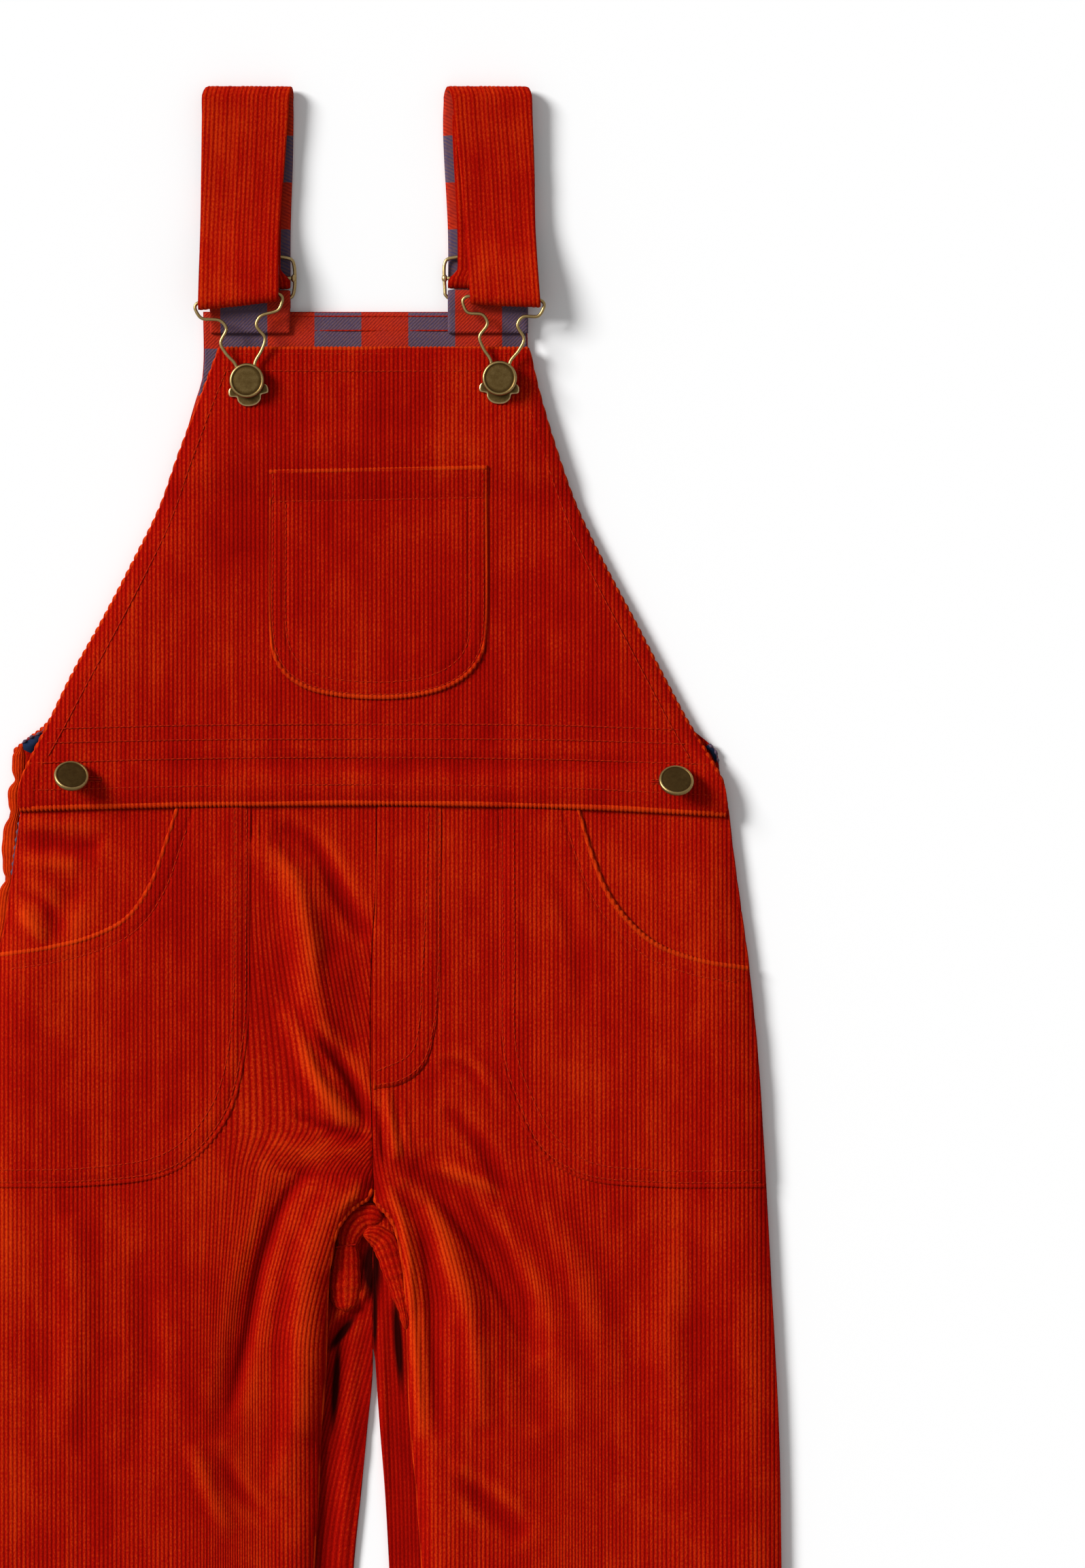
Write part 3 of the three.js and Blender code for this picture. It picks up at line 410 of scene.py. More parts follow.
# Rows of stitches
STITCH = 2.7
THREAD_RADIUS = 0.2
FURROW = 0.34
BIB_ROWS = {
    "left edge": [(-60.5, 184), (-68, 165), (-76.5, 142), (-85, 118), (-96, 95), (-108, 72), (-120, 50),
                  (-129.5, 32), (-136, 20)],
    "right edge": [(61.5, 184), (66.5, 165), (73.5, 142), (82, 118), (92.5, 95), (105, 71), (116.5, 49),
                   (126, 31), (133, 19)],
    "top hem": [(-61.5, 181.5), (0, 181.2), (62.5, 181.5)],
    "top edge": [(-62, 188.6), (0, 188.6), (63, 188.6)],
    "waist edge": [(-146, 5.6), (-75, 7.4), (0, 8), (75, 6.8), (146, 3.4)],
    "waist": [(-144, 17), (-75, 18.9), (0, 19.4), (75, 18.6), (141, 16.5)],
    "casing": [(-137, 25.5), (-75, 26.8), (0, 27.1), (75, 26.8), (134, 25)],
    "casing top": [(-133, 31.5), (-75, 32.9), (0, 33.3), (75, 32.9), (129, 31)],
}
CHEST_ROWS = {
    "hem": [(-42.6, 126.6), (0, 127.4), (47.2, 128.4)],
    "edge": [(-41.8, 138.6), (-41.8, 105), (-41.8, 75), (-40.2, 63.8), (-35.6, 55.8), (-27.4, 50.3), (-15, 47),
             (4.8, 45.8), (20.6, 47.4), (32.2, 51), (40.1, 56.6), (45, 64.8), (46.4, 75), (46.4, 105), (46.4, 140.4)],
    "inside": [(-36.4, 126), (-36.4, 105), (-36.4, 77), (-35, 66.5), (-31.2, 59.8), (-24.6, 55), (-14, 52.1),
               (4.8, 51), (19, 52.4), (29, 55.6), (36, 60.6), (39.7, 67), (40.8, 77), (40.8, 105), (40.8, 127)],
}
FLY_ROWS = {
    "outer": [(27.6, -3), (27.6, -68), (25.4, -94), (20.9, -108.6), (12, -115.6), (1.8, -117.8)],
    "inner": [(23.4, -3), (22.2, -45), (20.5, -77), (19.7, -91), (16, -104.5), (1.6, -112)],
}
HIP_ROWS = {
    "left": (
        [(-52.8, -2), (-53, -50), (-54.4, -99), (-61.6, -128.6), (-74.6, -145.8), (-88.6, -153.8), (-118, -157.8),
         (-163, -158.6)],
        [(-58, -2), (-57.8, -50), (-59.4, -97), (-66.4, -124.6), (-78, -140.2), (-90.4, -147.8), (-118, -152.4),
         (-163, -153.6)],
    ),
    "right": (
        [(54.2, -2), (54.7, -60), (55.3, -104.4), (61.1, -124), (71.6, -144.4), (88.5, -155), (120, -158.4),
         (163, -158.6)],
        [(59, -2), (59.6, -60), (60.2, -103), (66, -121), (76, -138.6), (90, -149.6), (120, -153.4),
         (163, -153.6)],
    ),
}
FACING_ROWS = (204.6, 198.6)
BUTTON_SLITS = (((-119.2, 10.5), (-113.6, 10.2)), ((116.6, 9.2), (120.6, 9.1)))

# Straps: the edges of the layer that shows and of the layer behind it
STRAPS = {
    "left": {
        "lean": 0.108,
        "front": Table("y left right", (301, -71.4, -34.4), (265, -71.9, -37.1), (240, -72.2, -39.0),
                       (208, -72.9, -39.2)),
        "back": Table("y left right", (301, -67.8, -33.2), (272, -67.8, -33.6), (240, -68.3, -34.6),
                      (208, -68.3, -34.6)),
    },
    "right": {
        "lean": -0.05,
        "front": Table("y left right", (301, 32.6, 66.6), (267, 36.5, 67.9), (240, 38.8, 68.4),
                       (208, 41.2, 70.6)),
        "back": Table("y left right", (301, 29.6, 63.6), (280, 29.5, 63.5), (240, 31.5, 65.2),
                      (208, 31.5, 65.2)),
    },
}
STRAP_CHECK = 280.6
BAR = (211.5, 10.75)
HOOK_TURN = 2.15
RETURN_END = 224
FRONT_RUN = ((214, 12.8), (225, 11.5), (233, 9.4), (246, 6.8), (268, 6.2), (288, 6.5))
TOP_TURN = 2.7
SLIDER = (220.5, 3.6)
SLIDER_TURN = 2.5
STRAP_BEND = 219.6
SLIDER_BAR_STEP = 8.25
TAIL_RUN = ((224, 5.9), (230, 5.2), (238, 3.6), (252, 3.4), (272, 3.4), (289, 3.4))
TAIL_SHIFT = 4.0
STUB_RUN = ((197.5, 3.9), (200, 4.3), (203.5, 4.75), (208.6, 5.7))
STUB_RETURN = 208.2

# Metal fittings
WIRE = 1.4
SLIDER_BAR = 1.5
SLIDER_THICKNESS = 1.4
BEAD = 1.7
PLATE = 1.0
SHANK = 2.2
SIDE_SHANK = 4.3
BIB_FACE = 0.38
SIDE_FACE = 0.22
BUTTONS = (
    {"name": "bib_button_left", "x": -52.4, "y": 177.0, "radius": 7.3, "tilt": 0, "turn": 0},
    {"name": "bib_button_right", "x": 53.3, "y": 178.0, "radius": 7.3, "tilt": 0, "turn": 0},
    {"name": "side_button_left", "x": -125.8, "y": 11.0, "radius": 7.4, "tilt": 36, "turn": -14},
    {"name": "side_button_right", "x": 127.1, "y": 9.1, "radius": 7.4, "tilt": 34, "turn": -8},
)
PLATE_EDGE = ((0, 5.4), (4.2, 3.4), (5.4, -1.2), (8.0, -2.6), (8.2, -5.6), (5.2, -6.4), (4.8, -8.2),
              (3.0, -10.0), (0, -10.6))
HOOKS = (
    {"side": "left", "x": -52.4, "y": 177.0, "lean": 6.2, "bar": 34.7, "half": 18.3},
    {"side": "right", "x": 53.3, "y": 178.0, "lean": -2.9, "bar": 33.5, "half": 17.0},
)
HOOK_HALF = ((0, -3.7), (2.7, -2.6), (3.8, 1.2), (4.0, 7.0), (7.6, 12.4), (9.3, 17.0), (6.3, 22.6), (8.4, 26.2))


def fold_lift(folds, x, y):
    """The folds' heights added up; each one fades out towards its ends."""
    lift = np.zeros(np.shape(x))
    for height, left, right, path in folds:
        trace = curve(path, 18)
        reach = max(left, right)
        low, high = trace.min(0) - reach, trace.max(0) + reach
        near = (x > low[0]) & (x < high[0]) & (y > low[1]) & (y < high[1])
        if not near.any():
            continue
        px, py = x[near], y[near]
        nearest, along = np.full(px.shape, np.inf), np.zeros(px.shape)
        for k in range(len(trace) - 1):
            (ax, ay), (dx, dy) = trace[k], trace[k + 1] - trace[k]
            share = np.clip(((px - ax) * dx + (py - ay) * dy) / (dx * dx + dy * dy), 0, 1)
            off_x, off_y = px - ax - share * dx, py - ay - share * dy
            distance = np.hypot(off_x, off_y) / np.where(off_x > 0, right, left)
            closer = distance < nearest
            nearest = np.where(closer, distance, nearest)
            along = np.where(closer, (k + share) / (len(trace) - 1), along)
        across = 0.5 + 0.5 * np.cos(np.pi * np.clip(nearest, 0, 1))
        lift[near] += height * across * np.sqrt(np.maximum(0, np.sin(np.pi * along)))
    return lift


def lean(leans, x, y):
    """How far the wales at a place are drawn aside."""
    moved = np.zeros(np.shape(x))
    for start, whole, end, middle, reach, by, side in leans:
        strength = rise(-y, -start, -whole) * (1 - rise(-y, -whole, -end))
        past = (x - middle) * (side or 1)
        share = 1 - rise(np.abs(past) if side == 0 else -past, 0, reach)
        moved = moved + by * strength * share
    return moved


# Surfaces of the stack, from the floor up

def back_top(x, y):
    return CLOTH + fold_lift(CROTCH_ROLL, x, y) + np.maximum(-1.2, fold_lift(BACK_FOLDS, x, y))


def trouser_under(x, y):
    inner_left, inner_right = INNER_SEAM.at("front_left", y), INNER_SEAM.at("front_right", y)
    is_left = x < 0.5 * (inner_left + inner_right)
    outer = np.where(is_left, x - SIDE_SEAM.at("front_left", y), SIDE_SEAM.at("front_right", y) - x)
    inner = np.where(is_left, inner_left - x, x - inner_right)
    split = 1 - rise(y, *LEGS_PART)
    waist_ease = mix(1, WAIST_CROWN_SHARE, rise(y, -WAIST_EASE, 0))
    rounding = shoulder(outer, SIDE_REACH) * mix(1, shoulder(inner, INNER_REACH), split)
    folds = fold_lift(TROUSER_FOLDS, x, y) + fold_lift(CREASES, x, y)
    folds = folds * shoulder(outer, SIDE_REACH / 3) * (1 - rise(y, -7, -1))
    lift = np.maximum(0, TROUSER_CROWN * waist_ease * rounding + folds)
    return CLOTH + SEAM_GAP + fold_lift(ROLL_COVER, x, y) + lift


def trouser_top(x, y):
    return trouser_under(x, y) + CLOTH


def bib_under(x, y):
    edge = np.minimum(x - BIB_SIDES.at("left", y), BIB_SIDES.at("right", y) - x)
    crown = BIB_CROWN * shoulder(edge, SIDE_REACH) * mix(0.5, 1, shoulder(BIB_TOP_EDGE - y, 30))
    on_facing = (FACING + SEAM_GAP) * rise(y, *FACING_STEP)
    on_back = CLOTH + SEAM_GAP + on_facing + crown
    on_trousers = trouser_top(x, np.minimum(y, TUCK)) + LAID_GAP
    lapped = 1 - rise(y, TUCK + 2, LAP_END)
    return mix(on_back, on_trousers, lapped) + fold_lift(BIB_FOLDS, x, y) * rise(y, TUCK, TUCK + 5)


def bib_top(x, y):
    return bib_under(x, y) + CLOTH


def waist_edge(x):
    return -np.where(x < 0, DROOP_LEFT, DROOP_RIGHT) * (x / WAIST_HALF) ** 2


# Meshes

LIFT = np.array([0, cad_high.y * 1000 - STRAP_TOP, 0])


def placed(points):
    return (np.asarray(points, float) + LIFT) / 1000


def tidy_quads(quads):
    """Quads that keep four corners, and the triangles that others shrink to."""
    same = quads == np.roll(quads, -1, axis=1)
    count = same.sum(axis=1)
    corner = quads[count == 1][~same[count == 1]].reshape(-1, 3)
    return quads[count == 0].tolist() + corner.tolist()


class Piece:
    """Points, faces and maps of a mesh that is put together from parts."""

    def __init__(self):
        self.points, self.faces, self.skins, self.cloth, self.folds = [], [], [], [], []
        self.count = 0

    def add(self, points, faces, cloth=None, skin=0, fold=0.0):
        """faces is a list of corner lists; cloth gives each point its place in the weave, and fold how far
        it stands out of the cloth around it."""
        points = np.asarray(points, float).reshape(-1, 3)
        self.points.append(points)
        self.faces += [[corner + self.count for corner in face] for face in faces]
        self.skins += [skin] * len(faces) if np.isscalar(skin) else list(skin)
        self.cloth.append(np.zeros((len(points), 2)) if cloth is None else np.asarray(cloth, float).reshape(-1, 2))
        self.folds.append(np.broadcast_to(fold, len(points)))
        self.count += len(points)

    def make(self, name, finishes, nodes=(), slot=None):
        points, cloth = np.vstack(self.points), np.vstack(self.cloth)
        mesh = bpy.data.meshes.new(name)
        mesh.from_pydata(placed(points).tolist(), [], self.faces)
        mesh.validate()
        for finish in finishes:
            mesh.materials.append(finish)
        mesh.polygons.foreach_set("material_index", np.array(self.skins, np.int32))
        mesh.polygons.foreach_set("use_smooth", np.ones(len(mesh.polygons), bool))
        corners = np.zeros(len(mesh.loops), np.int32)
        mesh.loops.foreach_get("vertex_index", corners)
        layer = mesh.uv_layers.new(name=CLOTH_MAP)
        layer.uv.foreach_set("vector", cloth[corners].astype(np.float32).ravel())
        fold = mesh.attributes.new(FOLD_MAP, "FLOAT", "POINT")
        fold.data.foreach_set("value", np.concatenate(self.folds).astype(np.float32))
        mesh.update()
        made = bpy.data.objects.new(name, mesh)
        bpy.context.scene.collection.objects.link(made)
        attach(made, "root")
        if nodes:
            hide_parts(*nodes)
        MADE[name] = made
        return made


def ridge(phase):
    """A wale's rounded back, from 0 in the groove beside it to 1."""
    return np.abs(np.sin(np.pi * phase)) ** 0.6


WALE_SHARES = (0.0, 0.14, 0.38, 0.62, 0.86)
COARSE_SHARES = (0.0, 0.3, 0.7)


def wale_columns(start, end, shares=WALE_SHARES):
    first, last = math.floor(start / WALE), math.ceil(end / WALE)
    return np.array([k + share for k in range(first, last) for share in shares] + [last]) * WALE


def sparse(columns, hidden_from, hidden_to):
    """The columns, but only one in six wales between two places where the cloth is covered."""
    wale = columns / WALE
    covered = (columns > hidden_from) & (columns < hidden_to)
    return columns[~covered | (np.abs(wale - 6 * np.round(wale / 6)) < 1e-6)]


def runs(x):
    """For each place in a row, the first place of those that share its spot."""
    fresh = np.ones(x.shape, bool)
    fresh[:, 1:] = np.abs(np.diff(x, axis=1)) > 1e-6
    return np.maximum.accumulate(np.where(fresh, np.arange(x.shape[1]), 0), axis=1)


def shell(name, finishes, nodes, slot, upper, weave, lower, inner_weave, below, fold=None):
    """A closed wall between two grids of points; the lower one has only some of the columns."""
    rows, count, _ = upper.shape
    spot = np.arange(rows)[:, None] * count + runs(upper[..., 0])
    low = rows * count + np.arange(rows)[:, None] * len(below) + runs(lower[..., 0])
    quads = np.stack([spot[:-1, :-1], spot[1:, :-1], spot[1:, 1:], spot[:-1, 1:]], axis=-1).reshape(-1, 4)
    inner = np.stack([low[:-1, :-1], low[:-1, 1:], low[1:, 1:], low[1:, :-1]], axis=-1).reshape(-1, 4)
    first_rim = np.stack([spot[:-1, 0], low[:-1, 0], low[1:, 0], spot[1:, 0]], axis=-1)
    last_rim = np.stack([spot[1:, -1], low[1:, -1], low[:-1, -1], spot[:-1, -1]], axis=-1)
    ends = []
    for k, (a, b) in enumerate(zip(below, below[1:])):
        ends.append([*spot[0, a:b + 1], low[0, k + 1], low[0, k]])
        ends.append([*spot[-1, a:b + 1][::-1], low[-1, k], low[-1, k + 1]])
    ends = [list(dict.fromkeys(int(corner) for corner in end)) for end in ends]
    outside = tidy_quads(quads) + tidy_quads(first_rim) + tidy_quads(last_rim)
    outside += [end for end in ends if len(end) > 2]
    inside = tidy_quads(inner)
    piece = Piece()
    fold = np.zeros(spot.size + low.size) if fold is None else np.append(fold.ravel(), np.zeros(low.size))
    piece.add(np.vstack([upper.reshape(-1, 3), lower.reshape(-1, 3)]), outside + inside,
              np.vstack([weave.reshape(-1, 2), inner_weave.reshape(-1, 2)]),
              [0] * len(outside) + [len(finishes) - 1] * len(inside), fold)
    return piece.make(name, finishes, nodes, slot)


def squares(x, y):
    """Where a place lies in the check, counted in squares."""
    return np.stack([(x - CHECK_START) / CHECK_SQUARE, (y - BIB_TOP_EDGE) / CHECK_SQUARE + 1], axis=-1)


def panel(name, finishes, nodes, columns, levels, head, foot, left, right, top, under,
          leans=(), coarse=12, detail=None, slot="corduroy", pile=PILE, rests_on=()):
    """A closed panel, whose rows go down and whose columns follow the wales."""
    w, v = np.meshgrid(columns, levels)
    x = w.copy()
    for _ in range(3):
        y = head(x) + (foot(x) - head(x)) * v
        x = np.clip(w + lean(leans, w, y), left(y), right(y))
    y = head(x) + (foot(x) - head(x)) * v
    free = np.abs(x - w - lean(leans, w, y)) < 1e-9
    phase = np.where(free, w, x - lean(leans, x, y)) / WALE
    z = top(x, y) - SUNK + pile * ridge(phase)
    if detail:
        z = z + detail(x, y)
    below = np.unique(np.round(np.linspace(0, x.shape[1] - 1, coarse + 1)).astype(int))
    under_x, under_y = x[:, below], y[:, below]
    low = np.minimum.reduce([under(under_x + step, under_y) for step in (-2.6, 0, 2.6)]) - 0.3 * (slot == "corduroy")
    low = np.maximum(low, 0)
    weave = np.stack([phase, y / 10], axis=-1) if slot == "corduroy" else squares(x, y)
    made = shell(name, finishes, nodes, slot, np.stack([x, y, z], axis=-1), weave,
                 np.stack([under_x, under_y, low], axis=-1), squares(under_x, under_y), below,
                 stands_out(top, x, y))
    state_cut(x, y)
    return made


def stands_out(top, x, y):
    """How far each place stands above the cloth around it."""
    around = [top(x + FOLD_REACH * across, y + FOLD_REACH * up) for across, up in ((-1, 0), (1, 0), (0, -1), (0, 1))]
    return np.clip(top(x, y) - np.mean(around, axis=0), -2.5, 2.5)


def state_cut(x, y):
    """Works out the flat size and area of a cut piece from the grid of its places across and along; the results are
    not kept.
    """
    across, down = x[1:, 1:] - x[:-1, :-1], y[1:, :-1] - y[:-1, 1:]
    back, up = x[1:, :-1] - x[:-1, 1:], y[1:, 1:] - y[:-1, :-1]
    area = 0.5 * np.abs(across * down - back * up).sum()
    flat = (x.max() - x.min(), y.max() - y.min())
    area = min(area, flat[0] * flat[1])
    flat[0] / 1000
    flat[1] / 1000
    area / 1e6


def frames(path):
    """Side and up vectors along a path that nowhere runs straight up."""
    way = np.gradient(np.asarray(path, float), axis=0)
    way /= np.linalg.norm(way, axis=1)[:, None] + 1e-12
    side = np.cross(way, [0, 0, 1.0])
    side /= np.linalg.norm(side, axis=1)[:, None] + 1e-12
    return side, np.cross(side, way)


def tube(piece, path, widths, heights, sides=8, cloth=None, skin=0, closed=False):
    """Adds a tube with an oval section; cloth is worked out from the points and their angles."""
    path, n = np.asarray(path, float), len(path)
    side, up = frames(np.vstack([path[-1], path, path[0]]) if closed else path)
    if closed:
        side, up = side[1:-1], up[1:-1]
    angle = (np.arange(sides) + 0.5) * 2 * np.pi / sides
    widths, heights = np.broadcast_to(widths, (n, sides)), np.broadcast_to(heights, (n, sides))
    ring = (path[:, None] + side[:, None] * (np.cos(angle) * widths)[..., None]
            + up[:, None] * (np.sin(angle) * heights)[..., None])
    at = np.arange(n * sides).reshape(n, sides)
    after = np.roll(at, -1, axis=1)
    at, after = (np.vstack([grid, grid[:1]]) for grid in (at, after)) if closed else (at, after)
    faces = np.stack([at[:-1], at[1:], after[1:], after[:-1]], axis=-1).reshape(-1, 4).tolist()
    if not closed:
        faces += [at[0].tolist(), at[-1, ::-1].tolist()]
    weave = cloth(ring, angle) if callable(cloth) else np.full((n, sides, 2), cloth or 0.0)
    piece.add(ring, faces, weave, skin)


# Finishes

class Socket:
    """A value in a material, with arithmetic."""

    def __init__(self, finish, node, output=0):
        self.finish, self.node, self.output = finish, node, output

    def out(self, output):
        return Socket(self.finish, self.node, output)

    def link(self):
        return self.node.outputs[self.output]

    def sum(self, operation, *values):
        return self.finish.add("ShaderNodeMath", {"operation": operation}, dict(enumerate(values)))

    def __add__(self, other):
        return self.sum("ADD", self, other)

    def __sub__(self, other):
        return self.sum("SUBTRACT", self, other)

    def __rsub__(self, other):
        return self.sum("SUBTRACT", other, self)

    def __mul__(self, other):
        return self.sum("MULTIPLY", self, other)

    def __truediv__(self, other):
        return self.sum("DIVIDE", self, other)

    def __pow__(self, other):
        return self.sum("POWER", self, other)

    def __mod__(self, other):
        return self.sum("FLOORED_MODULO", self, other)

    def __gt__(self, other):
        return self.sum("GREATER_THAN", self, other)

    __radd__, __rmul__ = __add__, __mul__


class Finish:
    """A material, from its shader's plain values to what varies over it."""

    def __init__(self, name, values):
        self.material = bpy.data.materials.new(name)
        self.material.use_nodes = True
        self.tree = self.material.node_tree
        self.shader = self.tree.nodes["Principled BSDF"]
        for socket, value in values.items():
            self.feed(self.shader.inputs[socket], value)

    def feed(self, target, value):
        if isinstance(value, Socket):
            self.tree.links.new(value.link(), target)
        else:
            target.default_value = value

    def add(self, kind, settings=None, inputs=None, output=0):
        node = self.tree.nodes.new(kind)
        for key, value in (settings or {}).items():
            if key == "stops":
                marks = node.color_ramp.elements
                while len(marks) < len(value):
                    marks.new(0.5)
                for mark, (place, colour) in zip(marks, value):
                    mark.position, mark.color = place, (*colour, 1)
            else:
                setattr(node, key, value)
        for key, value in (inputs or {}).items():
            self.feed(node.inputs[key], value)
        return Socket(self, node, output)

    def noise(self, place, scale, detail=2.0, rough=0.5):
        return self.add("ShaderNodeTexNoise", {}, {"Vector": place, "Scale": scale, "Detail": detail,
                                                   "Roughness": rough})

    def spot(self, x, y, z=0.0):
        return self.add("ShaderNodeCombineXYZ", {}, {0: x, 1: y, 2: z})

    def blend(self, share, a, b):
        return self.add("ShaderNodeMix", {"data_type": "RGBA"}, {0: share, 6: a, 7: b}, 2)

    def map(self, name=CLOTH_MAP):
        place = self.add("ShaderNodeUVMap", {"uv_map": name})
        parts = self.add("ShaderNodeSeparateXYZ", {}, {0: place})
        return parts, parts.out(1)

    def body(self):
        """Places on the garment, in millimetres."""
        place = self.add("ShaderNodeTexCoord", {}, {}, 3)
        parts = self.add("ShaderNodeSeparateXYZ", {}, {0: place})
        return parts * 1000, parts.out(1) * 1000, parts.out(2) * 1000

    def paint(self, colour, height=None, strength=0.3, distance=0.0003, rough=None):
        self.feed(self.shader.inputs["Base Color"], colour)
        if rough is not None:
            self.feed(self.shader.inputs["Roughness"], rough)
        if height is not None:
            bump = self.add("ShaderNodeBump", {}, {"Strength": strength, "Distance": distance, "Height": height})
            self.feed(self.shader.inputs["Normal"], bump)
        return self.material


DEEP_RED = (0.215, 0.0010, 0.0003)
RUST_RED = (0.355, 0.0036, 0.0008)
LIT_RED = (0.590, 0.0400, 0.0024)
# Painted shade in the grooves between wales
GROOVE_SHADE_RED = (0.140, 0.0004, 0.0002)
# Painted shade colour for the crotch's shadowed spots
CROTCH_SHADE_RED = (0.020, 0.0006, 0.0004)
THREAD_RED = (0.44, 0.020, 0.0035)
# Painted shade for stitch furrows, slits and seams
FURROW_SHADE_RED = (0.31, 0.0050, 0.0010)
LINING_SHADE = (0.012, 0.022, 0.055)
CHECK_RED = (0.460, 0.026, 0.0065)
CHECK_LILAC = (0.125, 0.072, 0.082)
TWILL_RED = (0.170, 0.004, 0.004)
TWILL_BLUE = (0.030, 0.036, 0.110)


def corduroy(name, lightness=-0.01, depth=0.54, crotch_shade=False):
    finish = Finish(name, {"Roughness": 0.95, "Specular IOR Level": 0.02, "Sheen Weight": 0.10,
                           "Sheen Roughness": 0.45, "Sheen Tint": (1.0, 0.12, 0.01, 1)})
    u, v = finish.map()
    x, y, _ = finish.body()
    # Painted shade and highlight of the wales: darker towards each groove, lighter on each crest
    beside = finish.add("ShaderNodeMath", {"operation": "PINGPONG"}, {0: u, 1: 0.5}) * 2
    groove = (1 - beside) ** 2.6
    streak = finish.noise(finish.spot(u * 0.55, v * 0.10), 1.0, 2.0, 0.6)
    patch = finish.noise(finish.spot(x * 0.030, y * 0.010, 3.0), 1.0, 3.0, 0.55)
    cloud = finish.noise(finish.spot(x * 0.075, y * 0.045, 8.0), 1.0, 3.0, 0.6)
    tuft = finish.noise(finish.spot(u * 3.0, v * 9.0), 1.0, 3.0, 0.75)
    tone = 0.5 + lightness + (streak - 0.5) * 0.42 + (patch - 0.5) * 0.50
    tone = tone + (cloud - 0.5) * 0.42 + (tuft - 0.5) * 1.15 + (beside - 0.5) * 0.22
    # Fold tone: lighter where the cloth stands out, partly rubbed pile on ridges and partly painted highlight, and
    # darker in creases as painted shade
    tone = tone + finish.add("ShaderNodeAttribute", {"attribute_name": FOLD_MAP}, {}, 2) * 0.17
    pile = finish.add("ShaderNodeValToRGB", {"stops": ((0.15, DEEP_RED), (0.5, RUST_RED), (0.9, LIT_RED))},
                      {0: tone})
    colour = finish.blend(groove * depth, pile, (*GROOVE_SHADE_RED, 1))
    # Painted shade: the inside cloth is darkened in the crotch's shadowed spots
    if crotch_shade:
        for middle_x, middle_y, long, short, tilt in CROTCH_SHADE_SPOTS:
            way_x, way_y = math.cos(math.radians(tilt)), math.sin(math.radians(tilt))
            off_x, off_y = x - middle_x, y - float(LIFT[1]) - middle_y
            along, across = off_x * way_x + off_y * way_y, off_y * way_x - off_x * way_y
            past = finish.add("ShaderNodeMath", {"operation": "ABSOLUTE"}, {0: across / short}) ** 2.0
            past = past + finish.add("ShaderNodeMath", {"operation": "ABSOLUTE"}, {0: along / long}) ** 2.0
            colour = finish.blend(1.3 - past * 1.3, colour, (*CROTCH_SHADE_RED, 1))
    fuzz = finish.noise(finish.spot(u * 9.0, v * 34.0), 1.0, 2.0, 0.6)
    return finish.paint(colour, fuzz + tuft * 0.8, 0.6, 0.0005)


def check_twill(name):
    finish = Finish(name, {"Roughness": 0.92, "Specular IOR Level": 0.03, "Sheen Weight": 0.03})
    u, v = finish.map()
    wobble = finish.noise(finish.spot(u * 22, v * 22), 1.0, 2.0)
    across = finish.add("ShaderNodeMath", {"operation": "FLOOR"}, {0: u + (wobble - 0.5) * 0.03})
    along = finish.add("ShaderNodeMath", {"operation": "FLOOR"}, {0: v + (wobble - 0.5) * 0.03})
    is_red = (across + along) % 2.0
    lines = finish.add("ShaderNodeMath", {"operation": "PINGPONG"}, {0: u * 13 - v * 13 + wobble * 0.5, 1: 0.5}) * 2
    flecks = finish.noise(finish.spot(u * 26 - v * 26, u * 9 + v * 9, 4.0), 1.0, 2.0, 0.7)
    ground = finish.blend(is_red, (*CHECK_LILAC, 1), (*CHECK_RED, 1))
    thread = finish.blend(is_red, (*TWILL_BLUE, 1), (*TWILL_RED, 1))
    soft = finish.noise(finish.spot(u * 3, v * 3, 1.0), 1.0, 3.0)
    colour = finish.blend((1 - lines) * 0.62 + (flecks - 0.5) * 1.5, ground, thread)
    shaded = finish.blend((soft - 0.3) * 0.4, colour, (0.07, 0.015, 0.03, 1))
    return finish.paint(shaded, lines + flecks, 0.45, 0.0003)


def sewing(name, colour):
    finish = Finish(name, {"Roughness": 0.85, "Specular IOR Level": 0.03})
    x, y, _ = finish.body()
    ply = finish.noise(finish.spot(x * 3, y * 3), 1.0, 2.0)
    shade = finish.blend(ply, (*(0.45 * c for c in colour), 1), (*(1.25 * c for c in colour), 1))
    return finish.paint(shade, ply, 0.3, 0.0001)


def brass(name, lightness=0.0):
    finish = Finish(name, {"Metallic": 1.0})
    wear_and_highlight, grain = finish.map()
    x, y, z = finish.body()
    stain = finish.noise(finish.spot(x * 0.5, y * 0.5, z * 0.5), 1.0, 4.0, 0.6)
    fine = finish.noise(finish.spot(x * 9, y * 1.6, z * 3), 1.0, 3.0, 0.7)
    # Lighter where the wear map is high: rubbed brass on rims, edges and tops, partly painted highlight
    tone = wear_and_highlight + lightness + (stain - 0.5) * 0.22 + (fine - 0.5) * 0.3
    colour = finish.add("ShaderNodeValToRGB", {"stops": (
        (0.05, (0.030, 0.014, 0.004)), (0.35, (0.120, 0.072, 0.022)), (0.7, (0.40, 0.28, 0.11)),
        (1.0, (0.78, 0.60, 0.32)))}, {0: tone})
    return finish.paint(colour, fine + stain, 0.18, 0.0002, 0.52 - tone * 0.22)


CORDUROY = corduroy("corduroy")
# The back legs' cloth seen between the front legs is darker as painted shade, since it lies in their shadow
SHADED_INNER_CORDUROY = corduroy("corduroy_inside_painted_shade", -0.14, crotch_shade=True)
BIB_CORDUROY = corduroy("corduroy_bib", -0.055)
STRAP_CORDUROY = corduroy("corduroy_strap", 0.05, 0.45)
